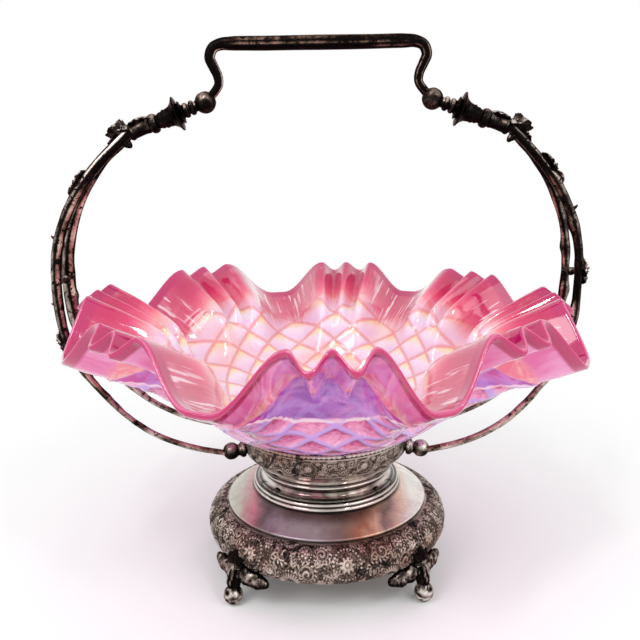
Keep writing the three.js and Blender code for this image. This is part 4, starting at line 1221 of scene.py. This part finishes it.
def addPieceWithWearAndSheen(mesh, node, low, high, bare=0.5):  # lighter where it faces up, forward or back: a painted highlight over uneven wear
    normals = meshNormals(mesh)
    points = meshPoints(mesh)
    points += normals * ripple(points, 3.2, 7)[:, None] * 0.06
    movePoints(mesh, points)
    facing = np.maximum(normals[:, 2] * 0.8 + abs(normals[:, 1]) * 0.5, 0)
    worn = low + high * facing ** 2 + 0.15 * ripple(points, 6, 8)
    addFields(mesh, {"worn": worn, "bare": np.full(len(points), bare)})
    addPiece(mesh.name, mesh, darkSilver, [node])


def addFittings(side):
    ball = nodeMiddle("fitting_ball_" + side)
    axis = nodeMiddle("sleeve_" + side) - ball
    axis[1] = 0
    axis /= np.linalg.norm(axis)
    form = bmesh.new()
    addBlob(form, ball, [fittingBall] * 3, detail=5)
    mesh = finishForm(form, pieceName("fitting_ball_" + side))
    addPieceWithWearAndSheen(mesh, "fitting_ball_" + side, *fittingWearAndSheen["ball"])
    start = fittingStart
    for kind, line in fittings.items():
        form = turnedForm([*fittingSocket, *line[1:]], 72, closed=False)
        placeForm(form, basis((0, 1, 0), axis, ball + axis * start))
        mesh = finishForm(form, pieceName(kind + "_" + side), 50)
        addPieceWithWearAndSheen(mesh, kind + "_" + side, *fittingWearAndSheen[kind])
        start += line[-1][1] + fittingGap


def addBoss(place):
    out = Vector((*bossPlace(place), 0))
    rise = Vector((0, 0, bosses["height"]))
    form = turnedForm(bosses["line"], 48, closed=False)
    placeForm(form, basis((0, 0, 1), out, out * bosses["seat"] + rise))
    addBlob(form, out * bosses["reach"] + rise, [bosses["ball"]] * 3, detail=5)
    mesh = melted(form, pieceName("boss_" + place), bosses["voxel"])
    addPieceWithWearAndSheen(mesh, "boss_" + place, *bosses["wear" + place.split("_")[1].title()])


for side in ("left", "right"):
    addFittings(side)
for place in ("front_right", "back_right", "front_left", "back_left"):
    addBoss(place)
print("fittings and bosses made")


# Roses: a bud inside two rows of petals, with leaves back over the sleeve and down the wires
rose = dict(
    steep=42, lean=20, fromTip=7.4, rise=4.2, voxel=0.3, wear=(0.12, 0.7, 0.9),
    # each row: petals, how far out they stand, width, height, curl, turn of the row
    petals=[(3, 2.6, 6.4, 6.0, 0.06, 0.3), (5, 4.4, 8.0, 5.6, 0.3, 0)],
)


def petalForm(width, height, thickness, curl):  # stands on the origin, face towards X, tip towards Z
    form = bmesh.new()
    bmesh.ops.create_uvsphere(form, u_segments=28, v_segments=20, radius=1)
    for vert in form.verts:
        up = (vert.co.z + 1) / 2
        side = vert.co.x
        lean = curl * up * up * height
        hollow = -0.35 * width * side * side
        wavy = 0.06 * width * math.sin(9 * side) * up
        face = vert.co.y * thickness / 2 + lean + hollow + wavy
        vert.co = Vector((face, side * width / 2, up * height)) * mm
    return form


def addRoseHead(form, side, middle, along, outward):
    addBlob(form, middle + outward * 0.8, (3.4, 3.4, 3.8))
    for count, away, width, height, curl, offset in rose["petals"]:
        for petal in range(count):
            way = wayAt(360 * (petal + offset) / count, along, Vector((0, 1, 0)))
            leaf = petalForm(width, height, 2.1, curl)
            addForm(form, placeForm(leaf, basis(way, outward, middle + way * away - outward * 1.8)))
    addBlob(form, middle - outward * 2.0, (4.6, 4.6, 2.4), (0, side * rose["steep"], 0))
    stalk = [middle - outward * 2.4, middle - outward * 3.2 - along * 3, middle - outward * 4.4 - along * 7]
    addRod(form, stalk, [1.5, 1.3, 1.5], 10)


def roseMesh(side, place):
    low, high = [np.array(corner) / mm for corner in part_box("rose_" + place)]
    tip = low[0] if side < 0 else high[0]
    middle = Vector((tip - side * rose["fromTip"], 0.2, low[2] + rose["rise"]))
    out, up, aside = Vector((side, 0, 0)), Vector((0, 0, 1)), Vector((0, 1, 0))
    along, outward = wayAt(rose["steep"], out, -up), wayAt(rose["steep"], up, out)
    back, above = wayAt(rose["lean"], -out, up), wayAt(rose["lean"], up, out)
    form = bmesh.new()
    addRoseHead(form, side, middle, along, outward)
    seat = Vector(wireCentres("front_" + place)[-1])
    seat.y = 0
    addLeaf(form, back, above, seat + above * 3.2, 14, 7, 2.4, teeth=4, bend=0.03)
    for face in (-aside, aside):
        way = back * 0.5 + face * 0.8 - above * 0.1
        origin = seat + above * 3.2 + along * 3
        addLeaf(form, way, above + face * 0.6, origin, 8, 5.4, 2.0, teeth=2, bend=0.1)
    origin = middle - outward * 1.6 + along * 3
    addLeaf(form, along * 0.75 - outward * 0.2, outward, origin, 8, 5.4, 2.0, teeth=3, bend=0.12)
    addBlob(form, seat - above * 4.2 + along * 2.5, (1.7, 1.6, 2.6), (0, side * 25, 0))
    return melted(form, pieceName("rose_" + place), rose["voxel"])


for side, place in ((-1, "left"), (1, "right")):
    addPieceWithWearAndSheen(roseMesh(side, place), "rose_" + place, *rose["wear"])
print("roses made")


# Leaves, braces and thorns on the wires
sprigs = dict(  # where along the front wire, and how long and wide each sprig is
    left_upper=(0.84, 15, 8), left_lower=(0.47, 11, 7), right_upper=(0.86, 18, 7), right_lower=(0.61, 13, 8),
)
# leaves: turn, share of the sprig's length, share of its width
sprig = dict(leaves=[(0, 0.62, 1), (180, 0.5, 0.8), (70, 0.38, 0.6), (-75, 0.4, 0.6)], voxel=0.28,
             wear=(0.32, 0.5, 0.85))
brace = dict(radii=[1.7, 1.2, 1.3, 1.2, 1.7], sink=0.8, bead=(2.3, 2.9, 2.4), sideBead=(1.2, 1.4, 1.3),
             voxel=0.24, wear=(0.15, 0.5))
spurVoxel = 0.26
spurs = dict(  # share of the wire, turn, length, thickness
    front_left=[(0.975, 180, 4.0, 1.3), (0.74, 190, 2.2, 0.9), (0.71, 0, 2.4, 0.9), (0.56, 0, 1.6, 0.8),
                (0.38, 150, 2.0, 0.8)],
    front_right=[(0.975, 180, 4.0, 1.3), (0.76, 0, 2.6, 0.9), (0.5, 160, 3.0, 1.1), (0.42, 0, 1.8, 0.8)],
)
archMiddle = 170


def wirePlace(place, share):  # seat, direction and the way out from the arch
    seats = splinePoint(wireCentres(place), np.array([share - 0.01, share, share + 0.01]))
    along = Vector(seats[2] - seats[0]).normalized()
    seat = Vector(seats[1])
    away = seat - Vector((0, seat.y, archMiddle))
    away -= along * away.dot(along)
    return seat, along, away.normalized()


def sprigMesh(name, share, length, width):
    seat, along, away = wirePlace("front_" + name.split("_")[0], share)
    side = away.cross(along)
    form = bmesh.new()
    addBlob(form, seat + away * 2.6, (1.6, 1.6, 1.6))
    for turn, lengthShare, widthShare in sprig["leaves"]:
        addLeaf(form, wayAt(turn, along, side), away, seat + away * 2.3, length * lengthShare,
                width * widthShare, 2.0, teeth=2, cup=0.12, bend=0.1)
    return melted(form, pieceName("leaf_leaf_" + name), sprig["voxel"])


def addBrace(place):
    middle = nodeMiddle("brace_" + place)
    low, high = [np.array(corner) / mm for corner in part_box("brace_" + place)]
    form = bmesh.new()
    line = [(middle[0], low[1] - brace["sink"], middle[2]), middle + (0.5, -4, 0.6),
            middle + (-0.4, 4, -0.3), (middle[0], high[1] + brace["sink"], middle[2])]
    addRod(form, line, brace["radii"], 26)
    addBlob(form, middle, brace["bead"])
    addBlob(form, middle + (0.8, -1.4, 1.3), brace["sideBead"])
    mesh = melted(form, pieceName("brace_" + place), brace["voxel"])
    addPieceWithWearAndSheen(mesh, "brace_" + place, *brace["wear"])


def addSpurs(place, marks):  # short side twigs and thorns on one wire
    form = bmesh.new()
    for share, turn, length, thick in marks:
        seat, along, away = wirePlace(place, share)
        side = wayAt(turn, away, away.cross(along))
        line = [seat + side * 1.2, seat + side * (2 + length * 0.5) + along * length * 0.1,
                seat + side * (2 + length) + along * length * 0.35]
        addRod(form, line, [thick * 1.35, thick, thick * 0.55], 12)
    mesh = melted(form, pieceName("spurs_" + place), spurVoxel)
    # lighter where it faces up: a painted highlight
    addFields(mesh, {"worn": 0.15 + 0.5 * np.maximum(meshNormals(mesh)[:, 2], 0)})
    addPiece(mesh.name, mesh, darkSilver, [])


for name, spec in sprigs.items():
    addPieceWithWearAndSheen(sprigMesh(name, *spec), "leaf_" + name, *sprig["wear"])
for place in ("left", "right"):
    addBrace(place)
for place, marks in spurs.items():
    addSpurs(place, marks)
print("leaves, braces and spurs made")


# Camera, light and floor
studio = dict(
    cameraPlace=(-2.191, -393.111, 236.705), cameraPitch=-12.977, cameraRoll=-0.952, lens=39.66,
    diffuseLevel=0.86, floorRadius=2.2, floorFade=(0.12, 0.55), floorDrop=0.0004, floorHue=(250, 251, 251),
)
lamps = dict(  # place and target in metres, watts, then width and height
    keyLamp=((-0.7, -0.75, 0.95), (0, 0, 0.14), 3.4, 0.5),
    fillLamp=((0.9, -0.6, 0.6), (0, 0, 0.14), 1.8, 0.7),
    leftGlint=((-0.25, -0.55, 1.0), (0, 0, 0.12), 1.3, 0.07, 0.2),
    rightGlint=((0.42, -0.62, 0.82), (0, 0, 0.12), 1.0, 0.07, 0.16),
)


def addCamera():
    data = bpy.data.cameras.new("camera")
    data.lens = studio["lens"]
    data.sensor_width = 36
    data.clip_start = 0.01
    camera = addObject("camera", data)
    pitch, roll = math.radians(studio["cameraPitch"]), math.radians(studio["cameraRoll"])
    turned = Matrix.Rotation(math.pi / 2 + pitch, 4, "X") @ Matrix.Rotation(roll, 4, "Z")
    camera.matrix_world = Matrix.Translation(Vector(studio["cameraPlace"]) * mm) @ turned
    bpy.context.scene.camera = camera


def addWorld():  # a little brighter for the camera, and for what metal and glass show, than as light
    world = bpy.data.worlds.new("studio")
    world.use_nodes = True
    bpy.context.scene.world = world
    back = world.node_tree.nodes["Background"]
    path = addNode(world.node_tree, "LightPath")
    direct, glossy, through = [Signal(path[kind]) for kind in ("Is Camera Ray", "Is Glossy Ray",
                                                              "Is Transmission Ray")]
    shown = (direct + glossy + through).maths("MINIMUM", 1.0)
    back.inputs["Color"].default_value = (1, 1, 1, 1)
    shown.span(studio["diffuseLevel"], 1.0).feed(back, "Strength")


def addLamp(name, place, target, power, width, height=None):
    data = bpy.data.lights.new(name, "AREA")
    data.energy = power
    data.size = width
    if height:
        data.shape = "RECTANGLE"
        data.size_y = height
    way = Vector(target) - Vector(place)
    turned = way.to_track_quat("-Z", "Y").to_matrix().to_4x4()
    addObject(name, data).matrix_world = Matrix.Translation(Vector(place)) @ turned


def addFloor():  # white near the basket and clear further out
    form = bmesh.new()
    bmesh.ops.create_circle(form, cap_ends=True, segments=96, radius=studio["floorRadius"])
    mesh = meshOf(form, "floor")
    floor = addObject("floor", mesh)
    floor.location.z = -studio["floorDrop"]
    settings = {"Base Color": tint(*studio["floorHue"]), "Roughness": 0.9, "Specular IOR Level": 0.0}
    material, tree, shader = newFinish("paleFloor", settings)
    away = vectorMaths(tree, "LENGTH", {0: objectPlace(tree)}, "Value").span(0, 1, *studio["floorFade"])
    clear = Signal(addNode(tree, "BsdfTransparent")[0])
    mixed = addNode(tree, "MixShader", {0: away, 1: Signal(shader.outputs[0]), 2: clear})
    Signal(mixed[0]).feed(tree.nodes["Material Output"], "Surface")
    mesh.materials.append(material)


addCamera()
addWorld()
addFloor()
for name, spec in lamps.items():
    addLamp(name, *spec)
bpy.context.scene.view_settings.view_transform = "Standard"
print("studio set")
